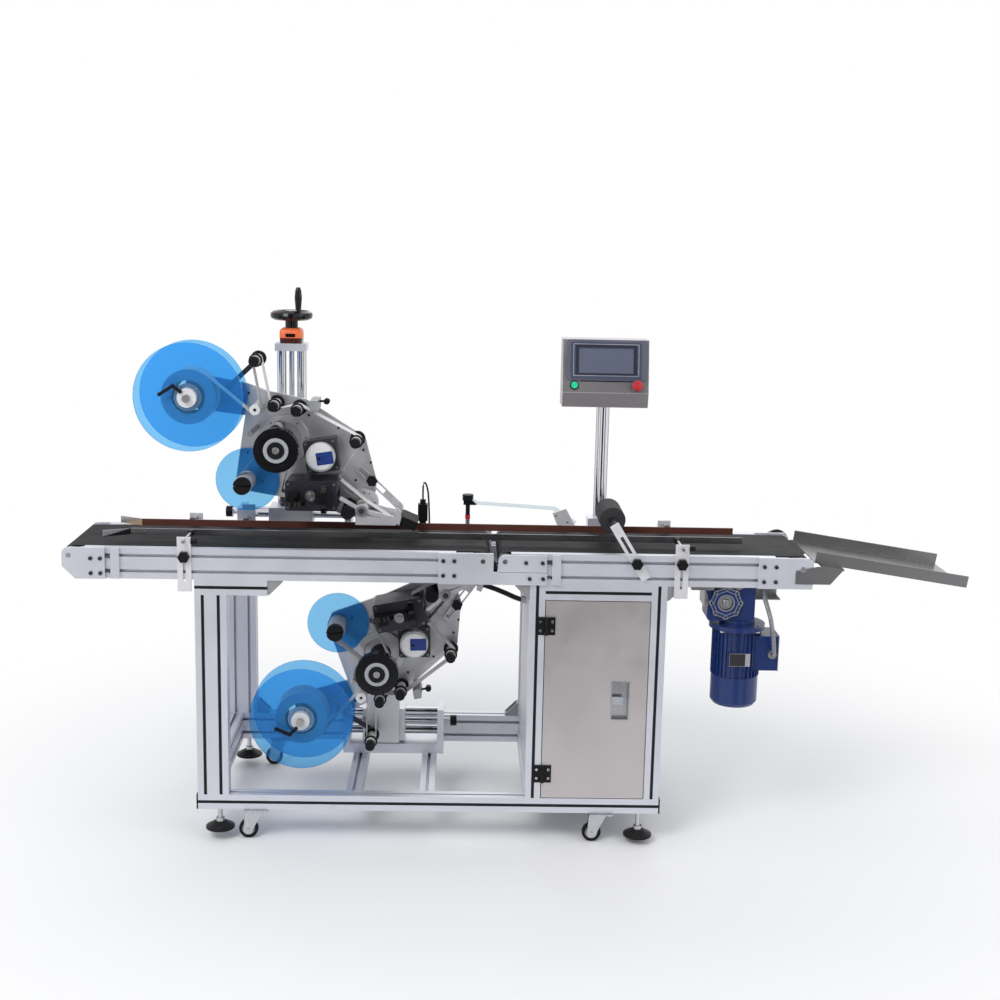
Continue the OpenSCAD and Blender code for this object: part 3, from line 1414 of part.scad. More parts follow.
boss_r = 16;
boss_out = 4.5;
spindle_r = 9;
hub_r = 38;
hub_t = 15;
tube2_r = 17;
strut = [[197, -77], [304, -178]];
stud_share = 0.31;
stud_at = strut[0] + stud_share * (strut[1] - strut[0]);
strut_d = strut[1] - strut[0];
strut_len = norm(strut_d);
hub_neck = 12;
hub_end_r = 14;
hub_hole_r = 2.5;
strut_w = 20;
strut_y = [4, 12];
strut_slot = 6;
white_r = 14;
web_in = 35;
web_cap = 30;
dancer_y = [2, 8];
module web_roller(p, r = band_r, flange = web_flange_r) {
 bar_y(p[0], p[1], -web_in + 10 * over, 0, r * 2 / 3);
 bar_y(p[0], p[1], -web_in, -web_in + 10 * over, flange);
 bar_y(p[0], p[1], -web_len + web_cap, -web_in, r);
 bar_y(p[0], p[1], -web_len, -web_len + web_cap, cap_r);
}

module head_plate() {
 difference() {
  union() {
   sheet_y(0, plate_t) polygon(rounded(plate_outline, plate_round));
   sheet_y(plate_t - over, plate_t * 2 - 2 * over) polygon(rounded(arm_outline, plate_round));
   bar_y(supply_at[0], supply_at[1], -boss_out, plate_t + over, boss_r);
  }
  bar_y(supply_at[0], supply_at[1], -boss_out - over, 3 * plate_t, spindle_r + fit);
  bar_y(rewind_at[0], rewind_at[1], -over, 2 * plate_t, spindle_r + fit);
  bar_y(feed_at[0], feed_at[1], -over, 2 * plate_t, spindle_r + fit);
  bar_y(pivot[0], pivot[1], -over, 3 * plate_t, band_r / 2 + fit);
 }
 for (p = roller_at) web_roller(p);
 web_roller(nip_at, nip_r, cap_r);
 bar_y(white_at[0], white_at[1], -web_len + web_in, 0, white_r);
 bar_y(grey_at[0], grey_at[1], -web_len, 0, post_r);
 difference() {
  bar_y(hub_at[0], hub_at[1], -hub_t, 0, hub_r);
  for (i = [0:3]) turn_at(hub_at[0], hub_at[1], 30 + i * 90)
   bar_y(hub_at[0], hub_at[1] + hub_r * 3 / 4, -hub_t - over, -hub_t / 2, hub_hole_r);
 }
 bar_y(hub_at[0], hub_at[1], -peel_y[2] + seat, -hub_t, tube2_r);
 bar_y(hub_at[0], hub_at[1], -peel_y[3] - seat, -peel_y[2] + seat, hub_neck);
 bar_y(hub_at[0], hub_at[1], -peel_y[3] - hub_t / 2, -peel_y[3] - seat, hub_end_r);
 star_knob(stud_at[0], stud_at[1], -strut_y[1] - seat - knob_h, -strut_y[1] - seat);
 bar_y(stud_at[0], stud_at[1], -strut_y[1] - seat - over, 0, strut_slot * 2 / 3);
}

sensor_at = [84, 99];
sens_half = [10, 13];
sens_out = 95;
head_knob = [113, 105];
br_half = [46, 38];
clamp_y = 6;
module upper_head_plate() {
 color([0.78, 0.79, 0.81]) {
  at_upper() head_plate();
  cx = col_x;
  z0 = up_z - head_low;
  difference() {
   union() {
    box([cx - car_w / 2, col_y - car_d / 2, z0],
     [cx + car_w / 2, col_y + car_d / 2, z0 + car_h]);
    for (side = [-1, 1]) box([cx + side * br_half[0] - clamp_y, up_y + plate_t - 2 * over, z0 + clamp_y],
     [cx + side * br_half[0] + clamp_y, col_y, z0 + car_h - clamp_y]);
    box([cx - br_half[0], up_y + plate_t - 2 * over, z0 + clamp_y],
     [cx + br_half[0], up_y + 2 * plate_t, z0 + car_h - clamp_y]);
   }
   for (side = [-1, 1]) bar_z(cx + side * rod_gap / 2, col_y, z0 - over, z0 + car_h + over,
    rod_d / 2 + fit);
   bar_z(cx, col_y, z0 - over, z0 + car_h + over, screw_r + bore_clear);
  }
 }
}

head_low = 100;
low_brk_in = [38.5, 49.5];
low_brk_x = [low_x - low_brk_in[0], low_x + low_brk_in[1]];
low_brk_top = 440;
low_nut_in = 8;
module lower_head_plate() {
 z0 = low_rod_z[0] - rod_d / 2 - low_nut_in;
 color([0.78, 0.79, 0.81]) {
  at_lower() head_plate();
  difference() {
   union() {
    box([low_car_x[0], low_rod_y - car_d * 3 / 4, z0],
     [low_car_x[1], low_rod_y + car_d * 3 / 4, z0 + low_car_h]);
    box([low_brk_x[0], low_y + plate_t - 2 * over, z0], [low_brk_x[1], low_rod_y - car_d * 3 / 4 + over,
     z0 + low_brk_top - low_car_h * 2]);
   }
   for (z = low_rod_z) bar_x(low_car_x[0] - over, low_car_x[1] + over, low_rod_y, z, rod_d / 2 + fit);
   bar_x(low_car_x[0] - over, low_car_x[1] + over, low_rod_y, (low_rod_z[0] + low_rod_z[1]) / 2,
    screw_r + bore_clear);
  }
 }
}

// Feed motor, pinch box with its two adjusting discs, and the label sensor
mot_ys = [54, 62, 94];
square_w = 84;
square_turn = 9;
cov_r = 38;
box_y = [13, 121];
discs = [[35, -144, 33, 12], [116, -135, 37, 14]];
disc_y = 150;
lug_w = 12;
module feed_unit() {
 translate([motor_at[0], 0, motor_at[1]]) rotate([0, -square_turn, 0]) {
  box([-square_w / 2, -mot_ys[0], -square_w / 2], [square_w / 2, 0, square_w / 2]);
  sheet_y(-mot_ys[1], -mot_ys[0]) polygon(rounded([[-1, 1], [1, 1], [1, -1],
   [-1, -1]] * (square_w / 2 + over), clamp_y));
 }
 translate([motor_at[0], -mot_ys[1], motor_at[1]]) rotate([90, 0, 0]) rotate_extrude()
  polygon([[0, 0], [cov_r, 0], [cov_r, (mot_ys[2] - mot_ys[1]) * 3 / 4],
  [cov_r * 5 / 6, mot_ys[2] - mot_ys[1]], [0, mot_ys[2] - mot_ys[1]]]);
 difference() {
  sheet_y(-box_y[1], -box_y[0]) polygon(rounded([[box_at[0] - box_w / 2, box_at[1] + box_tall / 2],
   [box_at[0] + box_w / 2, box_at[1] + box_tall / 2],
   [box_at[0] + box_w / 2, box_at[1] - box_tall / 2],
   [box_at[0] - box_w / 2, box_at[1] - box_tall / 2]], clamp_y));
  box([box_at[0] - box_w, -box_y[1] + box_y[0], box_at[1] - clamp_y],
   [box_at[0] + box_w, -box_y[0] - box_y[0], box_at[1] + clamp_y]);
 }
 bar_y(box_at[0], box_at[1], -box_y[0], 0, white_r);
 bar_y(box_at[0] - box_w / 3, box_at[1], -box_y[0], 0, white_r / 2);
 star_knob(box_at[0], box_at[1] + 3 * over, -box_y[1] - knob_h, -box_y[1]);
 translate([discs[0][0], -disc_y, discs[0][1]]) cylinder(h = discs[0][3], r = discs[0][2],
  center = true);
 bar_z(discs[0][0], -disc_y, discs[0][1], discs[0][1] + 2 * lug_w, clamp_y);
 box([discs[0][0] - lug_w, -disc_y - clamp_y, discs[0][1] + lug_w],
  [discs[0][0] + lug_w, -box_y[1], discs[0][1] + 2 * lug_w]);
 translate([discs[1][0], -disc_y, discs[1][1]]) rotate([0, 90, 0])
  cylinder(h = discs[1][3], r = discs[1][2], center = true);
 bar_x(discs[1][0] - 2 * lug_w, discs[1][0], -disc_y, discs[1][1], clamp_y);
 box([discs[1][0] - 2 * lug_w, -disc_y - clamp_y, discs[1][1] - lug_w],
  [discs[1][0] - lug_w, -box_y[1], discs[1][1] + lug_w]);
 box([sensor_at[0] - sens_half[0], -sens_out, sensor_at[1] - sens_half[1]],
  [sensor_at[0] + sens_half[0], 0, sensor_at[1] + sens_half[1]]);
 bar_y(head_knob[0], head_knob[1], -sens_out / 2, -sens_out / 3, knob2_r);
 bar_x(sensor_at[0], head_knob[0] + knob2_r / 2, -sens_out * 5 / 12, head_knob[1], 3 * over);
}

module upper_feed_unit() { color([0.3, 0.3, 0.34]) at_upper() feed_unit(); }
module lower_feed_unit() { color([0.3, 0.3, 0.34]) at_lower() feed_unit(); }

// Supply reel: clear discs, the roll of labels, hub and lever
reel_y = [5, 9, 86, 90, 110];
lever_path = [[-15, 17], [-34, 31], [-68, 9]];
lever_w = 5;
module supply_reel() {
 translate([supply_at[0], 0, supply_at[1]]) {
  bar_y(0, 0, -reel_y[0], plate_t * 2 - 2 * over, spindle_r);
  for (i = [0, 2]) bar_y(0, 0, -reel_y[i + 1], -reel_y[i], supply_r);
  bar_y(0, 0, -reel_y[2], -reel_y[1], ring2_r);
  difference() {
   bar_y(0, 0, -reel_y[2] + 2 * over, -reel_y[1] - 3 * over, roll_r);
   bar_y(0, 0, -reel_y[2], -reel_y[1], ring2_r - over);
  }
  bar_y(0, 0, -reel_y[3] - 3 * over, -reel_y[3], ring2_r - 7 * over);
  bar_y(0, 0, -reel_y[4], -reel_y[3], collar_r);
  bar_y(0, 0, -web_len, -reel_y[4], stub_r);
  for (i = [0, 1]) sheet_y(-reel_y[4] - lever_w, -reel_y[4])
   loop_area(lever_path[i], lever_w, lever_path[i + 1] - [over / 5, 0], lever_w);
 }
}

module upper_supply_reel() { color([0.45, 0.72, 0.92]) at_upper() supply_reel(); }
module lower_supply_reel() { color([0.45, 0.72, 0.92]) at_lower() supply_reel(); }

// Rewind reel: one clear disc on a tube with a slit cap that grips the liner
rewind_y = [4, 8, 95, 111];
slit_w = 3;
module rewind_reel() {
 translate([rewind_at[0], 0, rewind_at[1]]) {
  bar_y(0, 0, -rewind_y[0], plate_t, spindle_r);
  bar_y(0, 0, -rewind_y[1], -rewind_y[0], rewind_r);
  difference() {
   union() {
    bar_y(0, 0, -rewind_y[2], -rewind_y[1], tube_r);
    bar_y(0, 0, -rewind_y[3], -rewind_y[2], tube_r - over);
   }
   box([-tube_r, -rewind_y[3] - over, -slit_w / 2], [tube_r, -rewind_y[1] - 3 * over, slit_w / 2]);
  }
 }
}

module upper_rewind_reel() { color([0.5, 0.75, 0.93]) at_upper() rewind_reel(); }
module lower_rewind_reel() { color([0.5, 0.75, 0.93]) at_lower() rewind_reel(); }

// Feed roller with the big ribbed wheel that turns it by hand
feed_y = [10, 12];
wheel_ring_r = 32;
wheel_centre_r = 22;
grips = 24;
module feed_wheel() {
 translate([feed_at[0], 0, feed_at[1]]) {
  bar_y(0, 0, -feed_y[0], plate_t - 3 * over, spindle_r);
  bar_y(0, 0, -feed_y[1], -2 * over, feed_r);
  bar_y(0, 0, -wheel_y, -feed_y[1], feed_r);
  difference() {
   bar_y(0, 0, -wheel_y - wheel_t, -wheel_y, feed_wheel_r);
   for (i = [0:grips - 1]) rotate([0, i * 360 / grips, 0])
    bar_y(0, feed_wheel_r + over, -wheel_y - wheel_t - over, -wheel_y + over, 2 * over);
   bar_y(0, 0, -wheel_y - wheel_t - over, -wheel_y - wheel_t + 3 * over, wheel_ring_r + feed_y[0]);
  }
  bar_y(0, 0, -wheel_y - wheel_t, -wheel_y, wheel_ring_r);
  bar_y(0, 0, -wheel_y - wheel_t - 2 * over, -wheel_y, wheel_centre_r);
 }
}

module upper_feed_wheel() { color([0.1, 0.1, 0.11]) at_upper() feed_wheel(); }
module lower_feed_wheel() { color([0.1, 0.1, 0.11]) at_lower() feed_wheel(); }

// Dancer arm: pivots on the supply arm and keeps the web tight with its roller
dancer_r = 9;
module dancer_arm() {
 sheet_y(dancer_y[0], dancer_y[1]) loop_area(pivot, dancer_r, dancer_at, dancer_r);
 bar_y(pivot[0], pivot[1], dancer_y[0], plate_t * 2 - 2 * over, band_r / 2);
 bar_y(dancer_at[0], dancer_at[1], -web_len + web_cap, dancer_y[0], band_r * 2 / 3);
 bar_y(dancer_at[0], dancer_at[1], -web_len, -web_len + web_cap, cap_r);
 bar_y(dancer_at[0], dancer_at[1], -web_in, -web_in + 10 * over, web_flange_r);
}

module upper_dancer_arm() { color([0.2, 0.2, 0.22]) at_upper() dancer_arm(); }
module lower_dancer_arm() { color([0.2, 0.2, 0.22]) at_lower() dancer_arm(); }

// Peel arm: hangs on the hub's tube; the label leaves the web at its thin edge
peel_y = [20, 28, 116, 124];
peel_bars = [[158, -138], [291, -188]];
peel_bar_r = 5.5;
cheek = [[194, -178], [291, -190], [300, -196], [300, -206], [194, -206]];
peel_edge = [[196, -200], [290, -200], [300, -206], [196, -206]];
peel_end = [[293, -168], [304, -160], [312, -170], [313, -186], [308, -206], [290, -193], [298, -182]];
peel_ring = [22, 17];
peel_r = 17.5;
wiper_at = [331, -202];
wipe_half = [22.5, 12];
wipe_turn = 22.5;
wiper_y = [22, 118];
module peel_side(ring_r, bore_r, y0, y1) {
 sheet_y(-y1, -y0) difference() {
  union() {
   translate(hub_at) circle(ring_r);
   for (p = peel_bars) loop_area(hub_at, peel_bar_r, p, peel_bar_r);
   polygon(cheek);
   polygon(peel_end);
  }
  translate(hub_at) circle(bore_r + fit);
 }
}

module peel_arm() {
 peel_side(peel_ring[0], tube2_r, peel_y[0], peel_y[1]);
 peel_side(peel_ring[1], hub_neck, peel_y[2], peel_y[3]);
 sheet_y(-peel_y[2] - over, -peel_y[1] + over) polygon(peel_edge);
 bar_y(peel_at[0], peel_at[1], -peel_y[3] - 2 * peel_bar_r, -peel_y[0], peel_r);
 translate([wiper_at[0], 0, wiper_at[1]]) rotate([0, wipe_turn, 0])
  box([-wipe_half[0], -wiper_y[1], -wipe_half[1]], [wipe_half[0], -wiper_y[0], wipe_half[1]]);
 bar_y(strut[1][0], strut[1][1], -peel_y[1] - over, -strut_y[0], strut_w / 2);
 translate([strut[0][0], 0, strut[0][1]]) rotate([0, -atan2(strut_d[1], strut_d[0]), 0]) difference() {
  sheet_y(-strut_y[1], -strut_y[0]) union() {
   translate([0, -strut_w / 2]) square([strut_len, strut_w]);
   circle(strut_w / 2);
  }
  box([0, -strut_y[1] - over, -strut_slot], [strut_len * 2 * stud_share, over - strut_y[0], strut_slot]);
 }
}

module upper_peel_arm() { color([0.7, 0.71, 0.74]) at_upper() peel_arm(); }
module lower_peel_arm() { color([0.7, 0.71, 0.74]) at_lower() peel_arm(); }

// The finished machine, centred over the origin
translate([-mid_x, -mid_y, 0]) {
 frame_beams();
 upright_posts();
 frame_fittings();
 door_hinges();
 slot_covers();
 levelling_feet();
 castor_fork_fl();
 castor_fork_fr();
 castor_fork_rl();
 castor_fork_rr();
 castor_wheel_fl();
 castor_wheel_fr();
 castor_wheel_rl();
 castor_wheel_rr();
 conveyor_rails();
 conveyor_plates();
 conveyor_belts();
 screws();
 infeed_idler_roller();
 infeed_drive_roller();
 outfeed_idler_roller();
 outfeed_drive_roller();
 guide_brackets();
 clamp_knobs();
 near_guide();
 far_guide();
 outfeed_chute();
 product_sensors();
 press_arm();
 sponge_roller();
 gearbox();
 motor();
 drive_sprocket();
 drive_chain();
 cables();
 cabinet_panels();
 cabinet_door();
 control_gear();
 panel_post();
 panel_box();
 panel_screen();
 start_button();
 stop_button();
 head_stages();
 lift_column();
 handwheel();
 upper_head_plate();
 upper_feed_unit();
 upper_supply_reel();
 upper_rewind_reel();
 upper_feed_wheel();
 upper_dancer_arm();
 upper_peel_arm();
 lower_head_plate();
 lower_feed_unit();
 lower_supply_reel();
 lower_rewind_reel();
 lower_feed_wheel();
 lower_dancer_arm();
 lower_peel_arm();
}
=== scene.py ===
import math

import bpy
import numpy as np
from mathutils import Matrix, Vector


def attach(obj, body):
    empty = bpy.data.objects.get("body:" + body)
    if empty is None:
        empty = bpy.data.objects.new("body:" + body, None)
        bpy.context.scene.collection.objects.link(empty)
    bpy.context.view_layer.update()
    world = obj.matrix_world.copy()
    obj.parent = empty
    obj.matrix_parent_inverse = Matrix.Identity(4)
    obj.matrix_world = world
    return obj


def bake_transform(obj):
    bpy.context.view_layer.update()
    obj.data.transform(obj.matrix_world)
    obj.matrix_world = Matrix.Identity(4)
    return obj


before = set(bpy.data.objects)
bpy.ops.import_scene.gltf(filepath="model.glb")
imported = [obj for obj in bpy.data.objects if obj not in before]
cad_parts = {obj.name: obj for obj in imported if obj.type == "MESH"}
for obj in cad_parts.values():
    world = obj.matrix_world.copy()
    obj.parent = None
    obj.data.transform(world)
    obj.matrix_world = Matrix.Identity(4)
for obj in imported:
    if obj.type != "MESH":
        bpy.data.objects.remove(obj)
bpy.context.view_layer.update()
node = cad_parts

# Slotted frame
# Aluminium extrusions with T slots, sawn to length, anodised and screwed together
# with blasted die-cast angles; black strips and end caps are pressed in.

MID = np.array([823.5203, 282.75, 0.0])  # the CAD base frame's point that became the origin, mm


def add(tree, kind, **values):
    """A shader node with its sockets set by name where the word starts with i_."""
    n = tree.nodes.new(kind)
    for key, value in values.items():
        if key.startswith("i_"):
            n.inputs[key[2:].replace("_", " ")].default_value = value
        else:
            setattr(n, key, value)
    return n


def new_group(name, inputs, outputs):
    """An empty node group with the sockets listed as (name, type, default)."""
    g = bpy.data.node_groups.new(name, "ShaderNodeTree")
    for label, kind, value in inputs:
        g.interface.new_socket(label, in_out="INPUT", socket_type=kind).default_value = value
    for label, kind in outputs:
        g.interface.new_socket(label, in_out="OUTPUT", socket_type=kind)
    return g, g.nodes.new("NodeGroupInput"), g.nodes.new("NodeGroupOutput")


def grain_group():
    """Fine grain: noise over the stretched object coordinates as a value and a bump on the softly
    rounded normal, and a slow patchiness beside it."""
    g, i, o = new_group(
        "Grain",
        [("Scale", "NodeSocketFloat", 300.0), ("Stretch", "NodeSocketVector", (1, 1, 1)),
         ("Depth", "NodeSocketFloat", 0.1), ("Round", "NodeSocketFloat", 0.0006)],
        [("Value", "NodeSocketFloat"), ("Patch", "NodeSocketFloat"), ("Normal", "NodeSocketVector")],
    )
    link = g.links.new
    place = add(g, "ShaderNodeTexCoord")
    stretched = add(g, "ShaderNodeVectorMath", operation="MULTIPLY")
    fine = add(g, "ShaderNodeTexNoise", i_Detail=3.0, i_Roughness=0.6)
    wide = add(g, "ShaderNodeTexNoise", i_Scale=6.0, i_Detail=4.0, i_Roughness=0.6)
    soft = add(g, "ShaderNodeBevel", samples=4)
    bump = add(g, "ShaderNodeBump", i_Distance=0.0004)
    link(place.outputs["Object"], stretched.inputs[0])
    link(i.outputs["Stretch"], stretched.inputs[1])
    link(stretched.outputs[0], fine.inputs["Vector"])
    link(i.outputs["Scale"], fine.inputs["Scale"])
    link(place.outputs["Object"], wide.inputs["Vector"])
    link(i.outputs["Round"], soft.inputs["Radius"])
    link(soft.outputs[0], bump.inputs["Normal"])
    link(fine.outputs["Fac"], bump.inputs["Height"])
    link(i.outputs["Depth"], bump.inputs["Strength"])
    link(fine.outputs["Fac"], o.inputs["Value"])
    link(wide.outputs["Fac"], o.inputs["Patch"])
    link(bump.outputs[0], o.inputs["Normal"])
    return g


def wear_and_highlight_group():
    """Rubbed edges and settled dust as masks, the edge mask also serving as a painted edge highlight on
    the stainless panel: an edge is where the rounded normal leaves the true one, dust lies where the
    face looks up, and both are broken up by the same spots of noise."""
    g, i, o = new_group(
        "Wear and Highlight",
        [("Edge", "NodeSocketFloat", 0.3), ("Dust", "NodeSocketFloat", 0.2)],
        [("Edge", "NodeSocketFloat"), ("Dust", "NodeSocketFloat")],
    )
    link = g.links.new
    geometry = add(g, "ShaderNodeNewGeometry")
    soft = add(g, "ShaderNodeBevel", samples=4, i_Radius=0.0012)
    bend = add(g, "ShaderNodeVectorMath", operation="DOT_PRODUCT")
    edge = add(g, "ShaderNodeMapRange", i_From_Min=0.995, i_From_Max=0.93)
    place = add(g, "ShaderNodeTexCoord")
    spots = add(g, "ShaderNodeTexNoise", i_Scale=45.0, i_Detail=6.0, i_Roughness=0.65)
    cut = add(g, "ShaderNodeMapRange", i_From_Min=0.48, i_From_Max=0.62)
    up = add(g, "ShaderNodeSeparateXYZ")
    lying = add(g, "ShaderNodeMapRange", i_From_Min=0.6, i_From_Max=0.98)
    link(geometry.outputs["Normal"], bend.inputs[0])
    link(soft.outputs[0], bend.inputs[1])
    link(bend.outputs["Value"], edge.inputs["Value"])
    link(place.outputs["Object"], spots.inputs["Vector"])
    link(spots.outputs["Fac"], cut.inputs["Value"])
    link(geometry.outputs["Normal"], up.inputs[0])
    link(up.outputs["Z"], lying.inputs["Value"])
    for name, mask, spotted in (("Edge", edge, cut.outputs[0]), ("Dust", lying, spots.outputs["Fac"])):
        both = add(g, "ShaderNodeMath", operation="MULTIPLY")
        share = add(g, "ShaderNodeMath", operation="MULTIPLY")
        link(mask.outputs[0], both.inputs[0])
        link(spotted, both.inputs[1])
        link(both.outputs[0], share.inputs[0])
        link(i.outputs[name], share.inputs[1])
        link(share.outputs[0], o.inputs[name])
    return g


GRAIN = grain_group()
WEAR_AND_HIGHLIGHT = wear_and_highlight_group()
DUST = (0.62, 0.6, 0.56, 1)


def tint_of(color, gain):
    """A colour made lighter or darker by a factor."""
    return tuple(min(1.0, c * gain) for c in color) + (1,)


def surface(name, color, metal=0.0, rough=0.5, scale=300.0, stretch=(1, 1, 1), depth=0.1,
            vary=0.12, edge=0.0, edge_color=None, dust=0.1, clear=None, **sockets):
    """A finish: grained colour and roughness, rubbed edges (a painted edge highlight on the stainless
    panel) and dust. Where clear is given as (share, tint), only that share and the mirror's stays,
    and the rest of the light goes straight through in the tint."""
    m = bpy.data.materials.new(name)
    m.use_nodes = True
    tree = m.node_tree
    link = tree.links.new
    p = tree.nodes["Principled BSDF"]
    grain = add(tree, "ShaderNodeGroup", node_tree=GRAIN, i_Scale=scale, i_Stretch=stretch, i_Depth=depth)
    wear_and_highlight = add(tree, "ShaderNodeGroup", node_tree=WEAR_AND_HIGHLIGHT, i_Edge=edge, i_Dust=dust)
    mean = add(tree, "ShaderNodeMath", operation="MULTIPLY")
    twice = add(tree, "ShaderNodeMath", operation="MULTIPLY")
    twice.inputs[1].default_value = 2.0
    base = add(tree, "ShaderNodeMix", data_type="RGBA")
    base.inputs["A"].default_value = tint_of(color, 1 - vary)
    base.inputs["B"].default_value = tint_of(color, 1 + vary * 0.6)
    rub_and_highlight = add(tree, "ShaderNodeMix", data_type="RGBA")
    rub_and_highlight.inputs["B"].default_value = edge_color or tint_of(color, 1.5)
    soil = add(tree, "ShaderNodeMix", data_type="RGBA")
    soil.inputs["B"].default_value = DUST
    gloss_range = add(tree, "ShaderNodeMapRange", i_From_Min=0.3, i_From_Max=0.7,
                      i_To_Min=max(0.02, rough - 0.07), i_To_Max=min(1.0, rough + 0.07))
    link(grain.outputs["Value"], mean.inputs[0])
    link(grain.outputs["Patch"], mean.inputs[1])
    link(mean.outputs[0], twice.inputs[0])
    link(twice.outputs[0], base.inputs["Factor"])
    link(base.outputs["Result"], rub_and_highlight.inputs["A"])
    link(wear_and_highlight.outputs["Edge"], rub_and_highlight.inputs["Factor"])
    link(rub_and_highlight.outputs["Result"], soil.inputs["A"])
    link(wear_and_highlight.outputs["Dust"], soil.inputs["Factor"])
    link(soil.outputs["Result"], p.inputs["Base Color"])
    link(grain.outputs["Patch"], gloss_range.inputs["Value"])
    link(gloss_range.outputs[0], p.inputs["Roughness"])
    link(grain.outputs["Normal"], p.inputs["Normal"])
    p.inputs["Metallic"].default_value = metal
    for key, value in sockets.items():
        p.inputs[key.replace("_", " ")].default_value = value
    if clear:
        share, tint = clear
        through = add(tree, "ShaderNodeBsdfTransparent", i_Color=tint + (1,))
        facing = add(tree, "ShaderNodeFresnel", i_IOR=1.45)
        kept = add(tree, "ShaderNodeMath", operation="ADD", use_clamp=True)
        kept.inputs[1].default_value = share
        mix = add(tree, "ShaderNodeMixShader")
        link(facing.outputs[0], kept.inputs[0])
        link(kept.outputs[0], mix.inputs["Fac"])
        link(through.outputs[0], mix.inputs[1])
        link(p.outputs[0], mix.inputs[2])
        link(mix.outputs[0], tree.nodes["Material Output"].inputs["Surface"])
    return m


def paint(name, base, *rules):
    """Gives a CAD node its finishes: base, then for each (finish, test) the faces whose centre,
    in mm of the CAD's base frame, passes the test."""
    mesh = node[name].data
    mesh.materials.clear()
    mesh.materials.append(base)
    centre = np.zeros(len(mesh.polygons) * 3)
    mesh.polygons.foreach_get("center", centre)
    x, y, z = (centre.reshape(-1, 3) * 1000 + MID).T
    index = np.zeros(len(mesh.polygons), np.int32)
    for k, (finish, test) in enumerate(rules):
        mesh.materials.append(finish)
        index[test(x, y, z)] = k + 1
    mesh.polygons.foreach_set("material_index", index)
    mesh.update()


anodised = surface("anodised aluminium", (0.68, 0.69, 0.75), metal=0.6, rough=0.42, scale=900,
                   depth=0.05, vary=0.08, edge=0.25, edge_color=(0.8, 0.8, 0.82, 1), dust=0.1)
casting = surface("blasted casting", (0.36, 0.365, 0.38), metal=0.7, rough=0.55, scale=1400,
                  depth=0.25, vary=0.12, dust=0.15)
zinc = surface("zinc plate", (0.6, 0.61, 0.63), metal=1.0, rough=0.26, scale=500, depth=0.03,
               vary=0.12, Specular_Tint=(0.3, 0.3, 0.32, 1))
strip = surface("slot strip", (0.008, 0.008, 0.012), rough=0.38, scale=700, depth=0.1, dust=0.05,
                Specular_IOR_Level=0.25)
castor_plate_top = 84.1
paint("frame_beams", anodised)
paint("upright_posts", anodised)
paint("frame_fittings", casting, (zinc, lambda x, y, z: z < castor_plate_top))
paint("slot_covers", strip)

# Levelling feet
# Zinc-plated spindles screwed up into the floor beams, each on a moulded
# black rubber pad.

FEET = [(54, 20), (1150, 20), (54, 548), (1150, 548)]
spindle_reach, pad_top, spindle_top = 11.5, 36, 90


def near(points, r, z0, z1):
    """A test for faces within r of any of the points, seen from above, between two heights."""
    def test(x, y, z):
        away = np.min([np.hypot(x - px, y - py) for px, py in points], axis=0)
        return (away < r) & (z > z0) & (z < z1)
    return test


black = surface("black plastic and socket shade", (0.009, 0.009, 0.01), rough=0.4, scale=1800, depth=0.2,
                vary=0.25, edge=0.15, edge_color=(0.1, 0.1, 0.11, 1), dust=0.03,
                Specular_IOR_Level=0.16)
paint("levelling_feet", black, (zinc, near(FEET, spindle_reach, pad_top, spindle_top)))

# Castors
# Pressed zinc-plated forks swivel under plates that four bolts hold; the
# wheels are hard rubber on a grey plastic core.


def loft(rings, finish, closed=False):
    """Rings of points, counted right-handed about the way they follow one another, joined by
    four-sided faces. The two ends get flat faces, or with closed the last ring meets the first.
    finish is one for all, or a list with one for each step, the flat ends included."""
    rings = np.asarray(rings, float)
    count, sides = rings.shape[:2]
    index = np.arange(count * sides).reshape(count, sides)
    here, after = (index, np.roll(index, -1, 0)) if closed else (index[:-1], index[1:])
    loops = np.stack([here, np.roll(here, -1, 1), np.roll(after, -1, 1), after], -1).ravel()
    sizes = np.full(here.size, 4)
    which = np.repeat(np.arange(len(here)), sides)
    if not closed:
        loops = np.concatenate([index[0][::-1], loops, index[-1]])
        sizes = np.concatenate([[sides], sizes, [sides]])
        which = np.concatenate([[0], which + 1, [len(here) + 1]])
    steps = finish if isinstance(finish, list) else [finish] * (which[-1] + 1)
    return rings.reshape(-1, 3), loops, sizes, steps, which


def turned(at, axis, profile, finish, sides=24, square=0.0):
    """A turned part: (distance along the axis, radius) points swept round it by sine and cosine.
    A profile that starts away from the axis is a ring and ends where it started. With square
    set, each round is a superellipse of that power."""
    a = np.array(axis, float)
    u = np.cross(a, (0.0, 0.0, 1.0) if abs(a[2]) < 0.9 else (1.0, 0.0, 0.0))
    w = np.cross(a, u)
    t = np.arange(sides) * 2 * math.pi / sides
    swell = (abs(np.cos(t)) ** square + abs(np.sin(t)) ** square) ** (-1 / square) if square else 1.0
    spoke = (np.outer(np.cos(t), u) + np.outer(np.sin(t), w)) * np.atleast_1d(swell)[:, None]
    along, r = np.array(profile, float).T
    closed = bool(r[0] > 0)
    kept = slice(0, -1) if closed else slice(1, -1)
    rings = np.array(at, float) + along[kept, None, None] * a + r[kept, None, None] * spoke
    return loft(rings, finish, closed)


